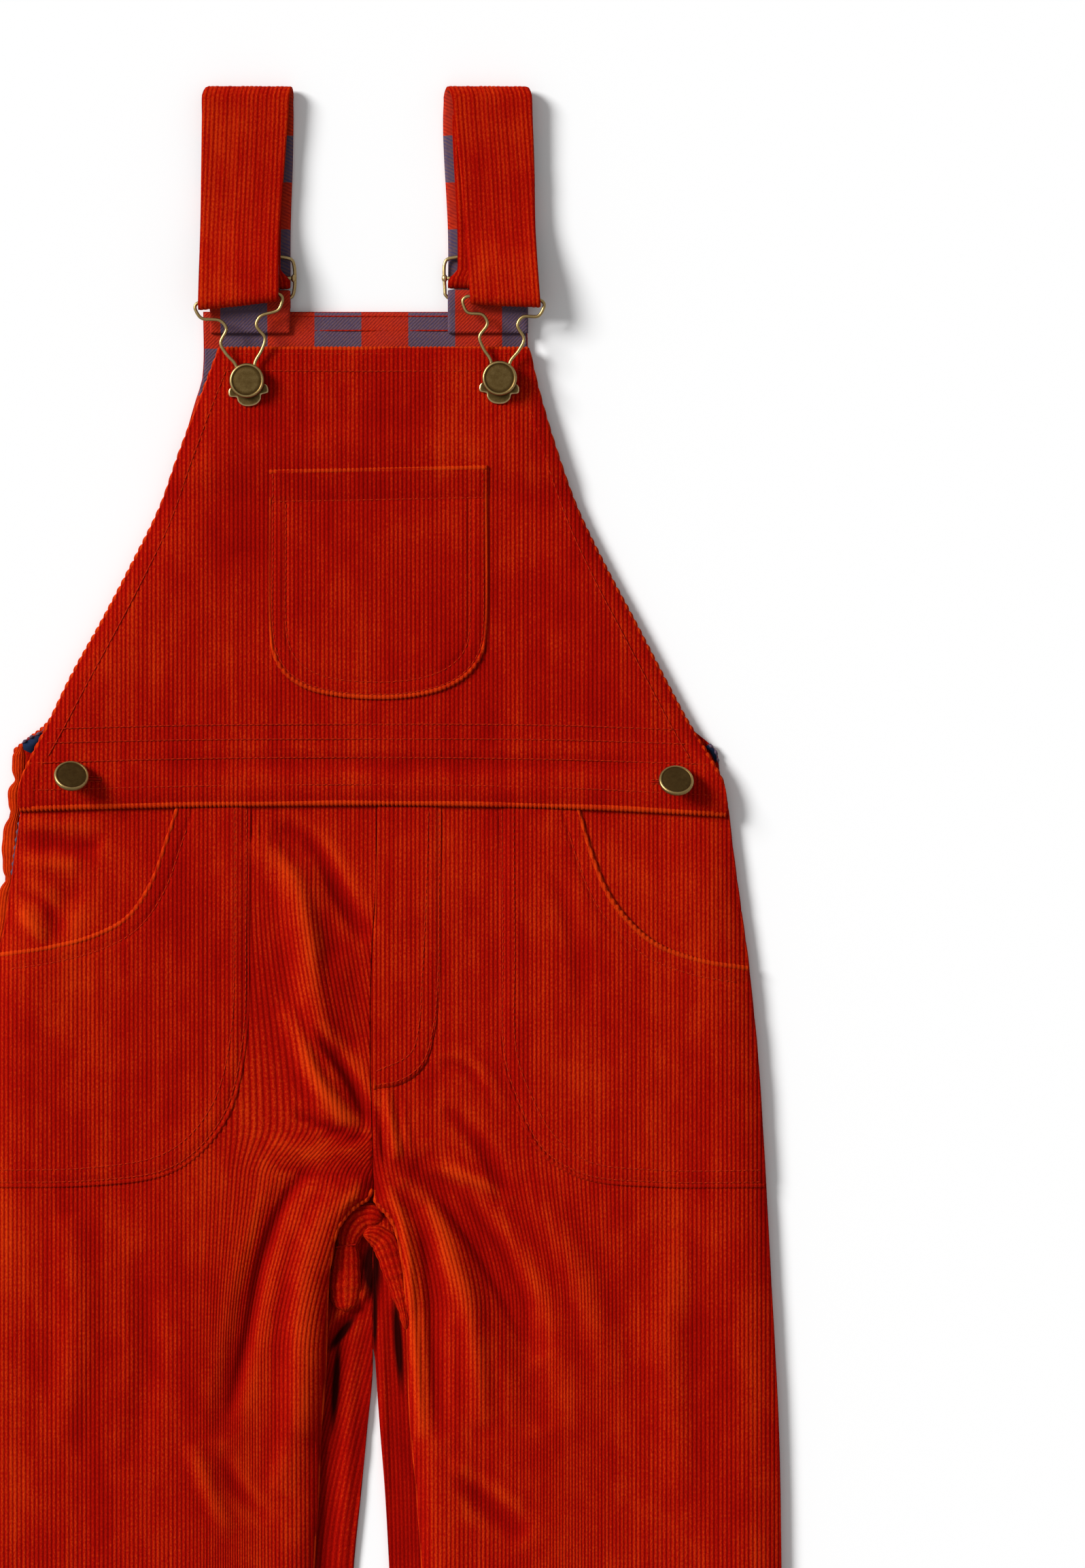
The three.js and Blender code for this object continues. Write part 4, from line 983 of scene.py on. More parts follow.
# Folded edges are lighter, partly rubbed pile and partly a painted highlight along the bright fold
WORN_LIT_EDGE_CORDUROY = corduroy("corduroy_fold_worn_and_painted_highlight", 0.26, 0.7)
LINING = check_twill("check_lining")
THREAD = sewing("matching_thread", THREAD_RED)
FURROW_SHADE = sewing("sunk_seam_painted_shade", FURROW_SHADE_RED)
LINING_IN_PAINTED_SHADE = sewing("lining_in_shade", LINING_SHADE)
BRASS = brass("antique_brass")


# Camera, floor and light

def camera():
    lens = bpy.data.cameras.new("camera")
    lens.sensor_width = SENSOR
    lens.lens = SENSOR * CAMERA_HEIGHT / (IMAGE_HEIGHT * MM_PER_PX)
    lens.clip_end = 20
    eye = bpy.data.objects.new("camera", lens)
    middle = ((IMAGE_WIDTH / 2 - WAIST_PX[0]) * MM_PER_PX, (WAIST_PX[1] - IMAGE_HEIGHT / 2) * MM_PER_PX)
    eye.location = placed([*middle, CAMERA_HEIGHT + CLOTH_LEVEL])
    bpy.context.scene.collection.objects.link(eye)
    bpy.context.scene.camera = eye


def studio():
    mesh = bpy.data.meshes.new("floor")
    half = 6.0
    mesh.from_pydata([(-half, -half, 0), (half, -half, 0), (half, half, 0), (-half, half, 0)], [], [(0, 1, 2, 3)])
    floor = bpy.data.objects.new("floor", mesh)
    bpy.context.scene.collection.objects.link(floor)
    paper = Finish("pale_paper", {"Base Color": (*FLOOR_WHITE, 1), "Roughness": 0.9})
    mesh.materials.append(paper.material)
    window = bpy.data.lights.new("window", "SUN")
    window.energy, window.angle = WINDOW_POWER, math.radians(WINDOW_SOFTNESS)
    lamp = bpy.data.objects.new("window", window)
    lamp.rotation_euler = (-Vector(WINDOW_FROM)).to_track_quat("-Z", "Y").to_euler()
    bpy.context.scene.collection.objects.link(lamp)
    world = bpy.data.worlds.new("room")
    world.use_nodes = True
    world.node_tree.nodes["Background"].inputs["Color"].default_value = (1, 1, 1, 1)
    world.node_tree.nodes["Background"].inputs["Strength"].default_value = ROOM_LIGHT
    scene = bpy.context.scene
    scene.world = world
    scene.view_settings.view_transform = "Standard"


camera()
studio()


# Panels

def level_rows(*stretches):
    """Heights from the top down; each stretch gives where it starts and its step."""
    rows = []
    for (start, step), (end, _) in zip(stretches, stretches[1:]):
        count = max(1, round((start - end) / step))
        rows += list(np.linspace(start, end, count, endpoint=False))
    return np.array(rows + [stretches[-1][0]])


def shares(rows):
    return (rows[0] - rows) / (rows[0] - rows[-1])


def constant(value):
    return lambda *at: np.full(np.shape(at[0]), float(value))


def ripple(x, y):
    """Soft unevenness of cloth that has been worn and washed."""
    wave = np.sin(x / 9.1 + 1.3 * np.sin(y / 37)) * np.sin(y / 41 + 2)
    return 0.16 * wave + 0.12 * np.sin(x / 23 + y / 61) * np.sin(y / 17 + x / 47)


def hem_step(distance, width, height=0.35):
    """Cloth that lies double along an edge stands a little higher."""
    return height * (1 - rise(distance, width - 0.5, width + 0.5))


def leg(side):
    seam = "front_" + side
    outer = lambda y: SIDE_SEAM.at(seam, y)
    inner = lambda y: INNER_SEAM.at(seam, y)
    rows = level_rows((TUCK, 2.6), (-158, 0.9), (-185, 2.4), (VIEW_END, 6.5), (HEM, 0))
    span = (-174, 16) if side == "left" else (-16, 174)
    edges = (outer, inner) if side == "left" else (inner, outer)
    detail = lambda x, y: ripple(x, y) * rise(-y, 5, 20) * shoulder(np.abs(x - outer(y)), 10)
    return panel(f"trouser_front_{side}", [CORDUROY, LINING], [f"leg_front_{side}"], wale_columns(*span),
                 shares(rows), constant(TUCK), constant(HEM), *edges, trouser_top, trouser_under, LEG_LEANS[side],
                 coarse=44, detail=detail, rests_on=(f"trouser_back_{side}",))


def back_leg(side):
    seam = "back_" + side
    outer = lambda y: SIDE_SEAM.at(seam, y)
    meeting = -SEAM_GAP / 2 if side == "left" else SEAM_GAP / 2
    inner = lambda y: np.where(y > HOLLOW_FOOT, meeting, INNER_SEAM.at(seam, y))
    start = -SEAM_GAP / 2
    rows = level_rows((start, 8), (-155, 1.6), (-225, 4), (VIEW_END, 10), (HEM, 0))
    columns = wale_columns(-175, 38, COARSE_SHARES)
    columns = sparse(sparse(columns, -144, -56), -400, -152)
    columns = columns if side == "left" else -columns[::-1]
    edges = (outer, inner) if side == "left" else (inner, outer)
    leans = BACK_LEANS[side]
    return panel(f"trouser_back_{side}", [SHADED_INNER_CORDUROY, CORDUROY], [f"leg_back_{side}"], columns, shares(rows),
                 constant(start), constant(HEM), *edges, back_top, constant(0), leans, coarse=10)


def front_bib():
    rows = level_rows((BIB_TOP_EDGE, 2.4), (30, 1.6), (0, 0))
    left = lambda y: BIB_SIDES.at("left", y)
    right = lambda y: BIB_SIDES.at("right", y)

    def detail(x, y):
        edge = np.minimum(x - left(y), right(y) - x)
        band = np.maximum(hem_step(edge, BIB_HEM), hem_step(BIB_TOP_EDGE - y, BIB_TOP_HEM))
        waist = hem_step(y, WAIST_HEM, 0.25) - 0.8 * (1 - rise(y - waist_edge(x), 0, 5))
        return ripple(x, y) * shoulder(edge, 12) + band + waist

    return panel("front_bib", [BIB_CORDUROY, LINING], ["bib_front"], wale_columns(-150, 150), shares(rows),
                 constant(BIB_TOP_EDGE), waist_edge, left, right, bib_top, bib_under, coarse=36, detail=detail,
                 rests_on=("back_bib", "trouser_front_left", "trouser_front_right"))


def back_bib():
    start = SEAM_GAP / 2
    rows = level_rows((BACK_TOP_EDGE, 4), (34, 1.5), (start, 0))
    left = lambda y: BACK_SIDES.at("left", y)
    right = lambda y: BACK_SIDES.at("right", y)
    columns = sparse(wale_columns(-152, 149, COARSE_SHARES), -62, 58)
    return panel("back_bib", [CORDUROY, CORDUROY], ["bib_back"], columns,
                 shares(rows), constant(BACK_TOP_EDGE), constant(start), left, right,
                 constant(CLOTH), constant(0), BIB_LEANS, coarse=10)


def facing():
    """The checked lining that shows over the bib's top."""
    inset = 0.4
    rows = level_rows((BACK_TOP_EDGE - inset, 1.6), (185, 5), (FACING_FOOT, 0))
    left = lambda y: BACK_SIDES.at("left", y) + inset
    right = lambda y: BACK_SIDES.at("right", y) - inset
    level = CLOTH + SEAM_GAP
    detail = lambda x, y: 0.25 * np.sin(x / 7 + 0.5 * np.sin(x / 19)) * rise(BACK_TOP_EDGE - y, 1, 6)
    return panel("back_facing", [LINING, LINING], ["bib_back_lining"], np.linspace(-76, 76, 153), shares(rows),
                 constant(BACK_TOP_EDGE - inset), constant(FACING_FOOT), left, right,
                 constant(level + FACING), constant(level), detail=detail, slot="check_lining", pile=0,
                 rests_on=("back_bib",))


def height_on(points):
    """The height of an outline at any place across."""
    path = curve(points, spacing=0.3)
    order = np.argsort(path[:, 0])
    return lambda x: np.interp(x, path[order, 0], path[order, 1])


def below_waist(points):
    return [(x, float(waist_edge(np.array(x))) - SEAM_GAP if y == 0 else y) for x, y in points]


def on_trousers(thickness):
    """A patch that lies close on the trousers, as its sewing holds it."""
    return (lambda x, y: trouser_top(x, y) + thickness), trouser_top


def chest_relief(x, y):
    """How far the bib pocket swells, with its hem, its sewn edge and the furrows of its rows."""
    head, foot = height_on(BIB_POCKET_TOP), height_on(BIB_POCKET_FOOT)
    low, high = BIB_POCKET_FOOT[0][0], BIB_POCKET_FOOT[-1][0]
    edge = np.minimum.reduce([x - low, high - x, np.maximum(0, y - foot(x)) + 1.5])
    sewn_path = curve([(low, 139.4)] + BIB_POCKET_FOOT + [(high, 141)], spacing=4)
    relief = ripple(x + 40, y) * 0.8 * shoulder(edge, 8) + hem_step(head(x) - y, POCKET_HEM, 0.3)
    relief = relief + 0.35 * shoulder(edge, 26) * rise(head(x) - y, 2, 30) + pressed(sewn_path, x, y, 0.3, 4)
    for row in ("hem", "inside"):
        relief = relief + pressed(curve(CHEST_ROWS[row], spacing=4), x, y, 0.34, 1.7)
    return relief


def chest_top(x, y):
    return bib_top(x, y) + SEWN_PATCH


def bib_pocket():
    rows = level_rows((142, 1.6), (44, 0))
    low, high = BIB_POCKET_FOOT[0][0], BIB_POCKET_FOOT[-1][0]
    return panel("bib_pocket_patch", [BIB_CORDUROY, LINING], ["bib_pocket"], wale_columns(low, high),
                 shares(rows), height_on(BIB_POCKET_TOP), height_on(BIB_POCKET_FOOT), constant(low),
                 constant(high), chest_top, bib_top, coarse=14, detail=chest_relief, rests_on=("front_bib",))


def hip_relief(side):
    """How the hip pocket's cloth swells, and how its hem and sewn edge are pressed down."""
    shape = FRONT_POCKETS[side]
    hem_path = curve(offset(below_waist(shape["opening"]), shape["hem"]), spacing=4)
    sewn_path = curve(below_waist(shape["foot"]), spacing=4)

    def relief(x, y):
        past = rise(np.abs(x - shape["foot"][-1][0]), 2, 14)
        hem = 0.4 * (1 - rise(nearness(hem_path, x, y), 0.4, 1.6)) * past
        return ripple(x, y + 20) * past - hem + pressed(sewn_path, x, y, 0.7)

    return relief


def fly_relief(x, y):
    return pressed(curve(below_waist(FLY_FOOT), spacing=4), x, y, 0.4, 3.5)


def front_pocket(side):
    opening, foot_points = FRONT_POCKETS[side]["opening"], FRONT_POCKETS[side]["foot"]
    inner = foot_points[-1][0]
    seam = "front_" + side
    rows = level_rows((0, 2.2), (-161, 0))
    top, under = on_trousers(SEWN_PATCH)
    head_points = below_waist(opening)
    foot = height_on(below_waist(foot_points))
    scoop = height_on(head_points)
    edge_x = opening[0][0]
    if side == "left":
        head = lambda x: np.where(x > edge_x, waist_edge(x) - SEAM_GAP, scoop(x))
        left, right = (lambda y: SIDE_SEAM.at(seam, y) + SEAM_GAP), constant(inner)
        columns = wale_columns(-167, inner)
    else:
        head = lambda x: np.where(x < edge_x, waist_edge(x) - SEAM_GAP, scoop(x))
        left, right = constant(inner), (lambda y: SIDE_SEAM.at(seam, y) - SEAM_GAP)
        columns = wale_columns(inner, 167)
    return panel(f"hip_pocket_{side}", [CORDUROY, LINING], [f"pocket_{side}"], columns, shares(rows),
                 head, foot, left, right, top, under, coarse=14, detail=hip_relief(side),
                 rests_on=(f"trouser_front_{side}",))


def fly():
    rows = level_rows((0, 2.2), (-120, 0))
    top, under = on_trousers(SEWN_LAP)
    seam = curve(below_waist(FLY_SEAM), spacing=1)
    left = lambda y: np.interp(y, seam[::-1, 1], seam[::-1, 0])
    return panel("fly_lap", [CORDUROY, LINING], ["fly"], wale_columns(0, FLY_FOOT[-1][0]), shares(rows),
                 lambda x: waist_edge(x) - SEAM_GAP, height_on(below_waist(FLY_FOOT)), left,
                 constant(FLY_FOOT[-1][0]), top, under, coarse=6,
                 detail=fly_relief, rests_on=("trouser_front_right",))


def nearness(path, x, y):
    """How far each place lies from a path."""
    near = np.full(np.shape(x), np.inf)
    for (ax, ay), (bx, by) in zip(path, path[1:]):
        dx, dy = bx - ax, by - ay
        share = np.clip(((x - ax) * dx + (y - ay) * dy) / (dx * dx + dy * dy), 0, 1)
        near = np.minimum(near, np.hypot(x - ax - share * dx, y - ay - share * dy))
    return near


def pressed(path, x, y, depth, reach=5):
    """How far a patch is pressed down by the sewing along its edge."""
    return -depth * (1 - rise(nearness(path, x, y), 0.5, reach))


def offset(points, distance):
    """The same path, moved to the left of the way it goes."""
    path = curve(points, spacing=2)
    return path + sideways(path) * distance


# Straps

def half_turn(centre, radius, facing, from_above):
    order = 1 if from_above else -1
    angle = np.radians(np.linspace(order * 90, -order * 90, 9))
    return [(centre[0] + facing * radius * math.cos(a), centre[1] + radius * math.sin(a)) for a in angle]


def ribbon(name, finishes, nodes, route, edges, slot, columns, ridged):
    """A strap along a route of heights (y, z) and how far it has passed to the back."""
    way = np.gradient(route[:, :2], axis=0)
    way /= np.linalg.norm(way, axis=1)[:, None]
    left, right, shear = edges(route)
    middle = (left + right) / 2

    def face(across, lift):
        x = np.clip(middle[:, None] + across[None, :], left[:, None], right[:, None])
        edge = np.minimum(x - left[:, None], right[:, None] - x)
        rounded = lift - np.sign(lift.mean()) * 0.55 * (1 - shoulder(edge + 0.25, 1.6))
        y = route[:, :1] - rounded * way[:, 1:] + shear[:, None] * (x - middle[:, None])
        return np.stack([x, y, np.maximum(0, route[:, 1:2] + rounded * way[:, :1])], axis=-1)

    columns = columns[::-1]
    below = np.unique(np.round(np.linspace(0, len(columns) - 1, 15)).astype(int))
    run = np.concatenate([[0], np.cumsum(np.hypot(*np.diff(route[:, :2], axis=0).T))])
    phase = columns / WALE
    soft = 0.22 * np.sin(run[:, None] / 7 + columns[None, :] / 9) * np.sin(run[:, None] / 19 + 1)
    worn = np.random.default_rng(14).uniform(0.25, 0.85, 64)[np.floor(phase).astype(int) + 32]
    lift = STRAP / 2 - SUNK + (PILE * worn * ridge(phase) if ridged else 0 * phase)
    upper = face(columns, lift[None, :] + soft * 0.5)
    lower = face(columns[below], np.full((len(route), len(below)), -STRAP / 2))
    x, y = lower[..., 0], lower[..., 1]
    inner_weave = np.stack([(x - x.min()) / CHECK_SQUARE / 2.2, (STRAP_CHECK - y) / CHECK_SQUARE], axis=-1)
    if ridged:
        weave = np.stack(np.broadcast_arrays(phase[None, :], run[:, None] / 10), axis=-1)
    else:
        weave = squares(upper[..., 0], BIB_TOP_EDGE + 5 + 0 * run[:, None] + 0 * upper[..., 1])
        weave[..., 1] += upper[..., 1] / CHECK_SQUARE % 0.7
    made = shell(name, finishes, nodes, slot, upper, weave, lower, inner_weave, below)
    state_cut(upper[..., 0], np.repeat(run[:, None], len(columns), axis=1))
    return made


def strap(side):
    shape = STRAPS[side]
    back_level = STRAP / 2
    top_centre = (STRAP_TOP - STRAP / 2 - TOP_TURN, back_level + TOP_TURN)
    bar_y, bar_z = BAR
    front = [(RETURN_END, bar_z - HOOK_TURN), ((RETURN_END + bar_y) / 2, bar_z - HOOK_TURN)]
    front += half_turn(BAR, HOOK_TURN, -1, False) + list(FRONT_RUN)
    turn = half_turn(top_centre, TOP_TURN, 1, True)
    behind = [(y, back_level) for y in (288, 274, 260, 247, 234)]
    behind += half_turn((STRAP_BEND, SLIDER[1]), SLIDER_TURN, -1, False)
    stations = [(y, z, 0) for y, z in front]
    stations += [(y, z, k / (len(turn) - 1)) for k, (y, z) in enumerate(turn)]
    stations += [(y, z, 1) for y, z in behind]
    stations += [(y, z, 2) for y, z in TAIL_RUN]
    route = curve(stations, spacing=1.6)

    def edges(route):
        y, share = route[:, 0], np.minimum(route[:, 2], 1)
        tail = TAIL_SHIFT * np.clip(route[:, 2] - 1, 0, 1)
        low = mix(shape["front"].at("left", y), shape["back"].at("left", y), share)
        high = mix(shape["front"].at("right", y), shape["back"].at("right", y), share)
        low, high = (low, high - tail) if side == "left" else (low + tail, high)
        return low, high, (1 - share) * shape["lean"] * (1 - rise(y, bar_y + 4, bar_y + 34))

    return ribbon(f"shoulder_strap_{side}", [STRAP_CORDUROY, LINING], [f"strap_{side}"], route, edges, "corduroy",
                  wale_columns(-20, 20, (0.0, 0.17, 0.5, 0.83)), True)


def stub(side):
    shape = STRAPS[side]["back"]
    lower_bar = (SLIDER[0] - SLIDER_BAR_STEP, SLIDER[1])
    route = list(STUB_RUN) + half_turn(lower_bar, SLIDER_TURN, 1, True) + [(STUB_RETURN, SLIDER[1] - SLIDER_TURN)]
    route = curve([(y, z, 0) for y, z in route], spacing=1.2)
    low, high = shape.at("left", lower_bar[0]), shape.at("right", lower_bar[0])
    edges = lambda route: (np.full(len(route), low), np.full(len(route), high), np.zeros(len(route)))
    return ribbon(f"strap_stub_{side}", [LINING, LINING], [f"stub_{side}"], route, edges, "check_lining",
                  np.linspace(-18, 18, 37), False)


# Metal fittings

def highest(x, y, radius):
    angle = np.radians(np.arange(0, 360, 30))
    ring = bib_top(x + radius * np.cos(angle), y + radius * np.sin(angle))
    return max(ring.max(), float(bib_top(np.array([x]), np.array([y]))[0])) + SEAM_GAP


def wire_height(x, y):
    return highest(x, y, 8) + PLATE + SEAM_GAP + WIRE / 2


def hook_wire(hook):
    x, y, bar, half = hook["x"], hook["y"], hook["bar"], hook["half"]
    low = wire_height(x, y)
    upper = [(half - 2.2, bar - 6.6), (half - 0.3, bar - 3.6), (half, bar - 1.4), (half - 1.6, bar),
             (half / 2, bar), (0.25, bar)]
    right = list(HOOK_HALF) + upper
    route = [(-out, up) for out, up in right[:0:-1]] + right
    angle = math.radians(hook["lean"])
    points = [(x + out * math.cos(angle) - up * math.sin(angle), y + out * math.sin(angle) + up * math.cos(angle),
               mix(low, BAR[1], min(1, max(0, (up - 8) / (bar - 8))))) for out, up in route]
    path = curve(points, spacing=0.7)
    piece = Piece()
    # Lighter along the wire's top, partly rubbed wear and partly painted highlight
    wear_and_highlight = lambda ring, angle: np.stack([0.42 + 0.3 * np.sin(np.broadcast_to(angle, ring.shape[:2])),
                                         ring[..., 1] * 0.1], axis=-1)
    tube(piece, path, WIRE / 2, WIRE / 2, 14, wear_and_highlight)
    return piece.make(f"bib_hook_{hook['side']}", [BRASS], [f"hook_{hook['side']}"], "antique_brass")


def hook_plate(hook):
    """The small plate under a bib button: eared edge, bevel and a round hole."""
    edge = list(PLATE_EDGE) + [(-out, up) for out, up in PLATE_EDGE[-2:0:-1]]
    turn = math.radians(hook["lean"])
    path = curve(edge + edge[:1], 96)[:-1]
    angle = np.arctan2(path[:, 1], path[:, 0])
    reach = np.hypot(path[:, 0], path[:, 1])
    hole = SHANK + 0.4
    base = highest(hook["x"], hook["y"], 8)
    rings = [(hole, 0, 0), (reach - 0.2, 0, 0.2), (reach, 0.25, 0.45), (reach, PLATE - 0.35, 0.75),
             (reach - 0.35, PLATE, 0.9), (reach - 0.9, PLATE, 0.4), (hole + 0.3, PLATE, 0.3), (hole, PLATE - 0.2, 0.3)]
    piece, n = Piece(), len(path)
    points, wear_and_highlight = [], []
    for radius, height, shine in rings:
        radius = np.broadcast_to(radius, n)
        out, up = radius * np.cos(angle + turn), radius * np.sin(angle + turn)
        points.append(np.stack([hook["x"] + out, hook["y"] + up, np.full(n, base + height)], axis=-1))
        wear_and_highlight.append(np.stack([np.full(n, shine), angle], axis=-1))
    at = np.arange(n * len(rings)).reshape(len(rings), n)
    at = np.vstack([at, at[:1]])
    after = np.roll(at, -1, axis=1)
    faces = np.stack([at[:-1], after[:-1], after[1:], at[1:]], axis=-1).reshape(-1, 4)
    piece.add(np.array(points), faces[:, ::-1].tolist(), np.array(wear_and_highlight))
    return piece.make(f"button_plate_{hook['side']}", [BRASS], [f"hook_plate_{hook['side']}"], "antique_brass")


def button(place):
    """A shank button with a rolled rim, a ring groove and a dished bare face."""
    x, y, radius = place["x"], place["y"], place["radius"]
    is_side = place["tilt"] > 0
    foot = highest(x, y, radius if is_side else SHANK)
    shank = SIDE_SHANK if is_side else wire_height(x, y) + WIRE / 2 + SEAM_GAP - foot
    r, face = radius, SIDE_FACE if is_side else BIB_FACE
    # The third value sets the brass tone: high on the rolled rim, partly rubbed wear and partly painted highlight
    profile = [(0.01, 0, 0.2), (SHANK, 0, 0.2), (SHANK, shank * 0.5, 0.2), (SHANK, shank, 0.2),
               (r - 1.6, shank, 0.2), (r - 0.7, shank + 0.05, 0.3), (r - 0.15, shank + 0.4, 0.4),
               (r, shank + 0.95, 0.45), (r - 0.1, shank + 1.55, 0.5), (r - 0.4, shank + 2.0, 0.62),
               (r - 0.75, shank + 2.12, 0.7), (r - 1.1, shank + 2.02, 0.34), (r - 1.3, shank + 1.86, 0.1),
               (r - 1.6, shank + 1.88, 0.2), (r - 2.4, shank + 1.96, face), (r - 4.5, shank + 1.98, face),
               (0.01, shank + 2.0, face)]
    lathe = even(curve(profile, spacing=0.16)[:, :3], spacing=0.28)
    around = 60
    angle = np.arange(around) * 2 * np.pi / around
    points = np.stack([lathe[:, :1] * np.cos(angle), lathe[:, :1] * np.sin(angle),
                       np.broadcast_to(lathe[:, 1:2], (len(lathe), around))], axis=-1)
    tilt, turn = math.radians(place["tilt"]), math.radians(place["turn"])
    spin = np.array(Matrix.Rotation(-tilt, 3, Vector((math.cos(turn), math.sin(turn), 0))))
    points = points @ spin.T
    top = spin @ np.array([0, 0, shank])
    points += np.array([x - top[0], y - top[1], foot + SHANK * math.sin(tilt)])
    at = np.arange(len(lathe) * around).reshape(-1, around)
    after = np.roll(at, -1, axis=1)
    faces = np.stack([at[:-1], after[:-1], after[1:], at[1:]], axis=-1).reshape(-1, 4).tolist()
    faces += [at[0, ::-1].tolist(), at[-1].tolist()]
    wear_and_highlight = np.stack(np.broadcast_arrays(lathe[:, 2:3], angle[None, :]), axis=-1)
    piece = Piece()
    piece.add(points, faces, wear_and_highlight)
    return piece.make(place["name"] + "_turned", [BRASS], [place["name"]], "antique_brass")


def slider(side):
    """A frame of three round bars, with a bead at each end of the middle one."""
    shape = STRAPS[side]["back"]
    y, z = SLIDER
    left, right = shape.at("left", y) - 0.5, shape.at("right", y) + 0.5
    bar, thick = SLIDER_BAR / 2, SLIDER_THICKNESS / 2
    low, high = left - bar, right + bar
    # Lighter along the bars' tops, partly rubbed wear and partly painted highlight
    wear_and_highlight = lambda ring, angle: np.stack([0.45 + 0.35 * np.sin(np.broadcast_to(angle, ring.shape[:2])),
                                         ring[..., 0] * 0.1], axis=-1)
    piece = Piece()
    step, turn = SLIDER_BAR_STEP, 1.6
    corners = [(low, y - step + turn), (low, y + step - turn), (low + turn, y + step), (high - turn, y + step),
               (high, y + step - turn), (high, y - step + turn), (high - turn, y - step), (low + turn, y - step)]
    loop = curve([(*corner, z) for corner in corners + corners[:1]], spacing=0.8)[:-1]
    tube(piece, loop, bar, thick, 10, wear_and_highlight, closed=True)
    tube(piece, even(np.array([(low, y, z), (high, y, z)]), spacing=2), bar, thick, 10, wear_and_highlight)
    for end in (low - 0.2, high + 0.2):
        along = np.linspace(-1, 1, 11)
        path = np.stack([np.full(11, end), y + along * BEAD, np.full(11, z)], axis=-1)
        size = np.sqrt(np.maximum(0.03, 1 - along ** 2))[:, None]
        tube(piece, path, BEAD * 0.75 * size, BEAD * 0.75 * size, 12, wear_and_highlight)
    return piece.make(f"strap_slider_{side}", [BRASS], [f"slider_{side}"], "antique_brass")


# Turned edges and sewing

def edge_roll(piece, points, top, under, inward, width=0.85, proud=0.12, skin=0):
    """The rounded, beaded fold along a cut piece's edge; inward is 1 if the cloth lies to the left."""
    plan = curve(points, spacing=0.6)
    plan = plan + sideways(plan) * inward * 0.45
    x, y = plan[:, 0], plan[:, 1]
    way = np.gradient(plan, axis=0)
    crossing = np.clip(2.2 * np.abs(way[:, 0]) / (np.hypot(*way.T) + 1e-9), 0, 1)
    bead = (ridge(x / WALE) * crossing)[:, None]
    high, low = top(x, y), under(x, y)
    path = np.stack([x, y, (high + low) / 2], axis=-1)
    cloth = lambda ring, angle: np.stack([ring[..., 0] / WALE, ring[..., 1] / 10 + angle * 0.1], axis=-1)
    tube(piece, path, width * (0.7 + 0.9 * bead), ((high - low) / 2)[:, None] + proud + 0.5 * bead, 8, cloth,
         skin)


def sew(threads, seams, points, top, raised=0.0):
    """A row of stitches in a shallow furrow, with a dark tube sunk along it as the furrow's painted shade."""
    path = curve(points, spacing=STITCH)
    middle = (path[:-1] + path[1:]) / 2
    way = np.diff(path, axis=0)
    way /= np.hypot(*way.T)[:, None]
    level = lambda at: top(at[:, 0], at[:, 1]) - SUNK + PILE + raised
    along = np.array([-1, -0.7, 0.7, 1]) * STITCH * 0.36
    thick = np.array([0.35, 1, 1, 0.35]) * THREAD_RADIUS
    angle = np.arange(4) * np.pi / 2 + 0.3
    across = np.stack([-way[:, 1], way[:, 0]], axis=1)
    n = len(middle)
    points = np.zeros((n, 4, 4, 3))
    points[..., :2] = (middle[:, None, None] + way[:, None, None] * along[None, :, None, None]
                       - across[:, None, None] * (np.cos(angle)[None, :] * thick[:, None])[None, ..., None])
    points[..., 2] = (level(middle)[:, None, None] + (np.sin(angle)[None, :] * thick[:, None])[None]
                      - np.array([0.12, 0, 0, 0.12])[None, :, None])
    at = np.arange(n * 16).reshape(n, 4, 4)
    after = np.roll(at, -1, axis=2)
    faces = np.stack([at[:, :-1], at[:, 1:], after[:, 1:], after[:, :-1]], axis=-1).reshape(-1, 4).tolist()
    faces += at[:, 0].tolist() + at[:, -1, ::-1].tolist()
    threads.add(points, faces)
    # Painted shade: a dark tube sunk along the row
    dense = curve(points_of(path), spacing=1.6)
    trail = np.column_stack([dense, level(dense) - 0.24])
    tube(seams, trail, FURROW, 0.2, 6)


def points_of(path):
    return [tuple(place) for place in path]


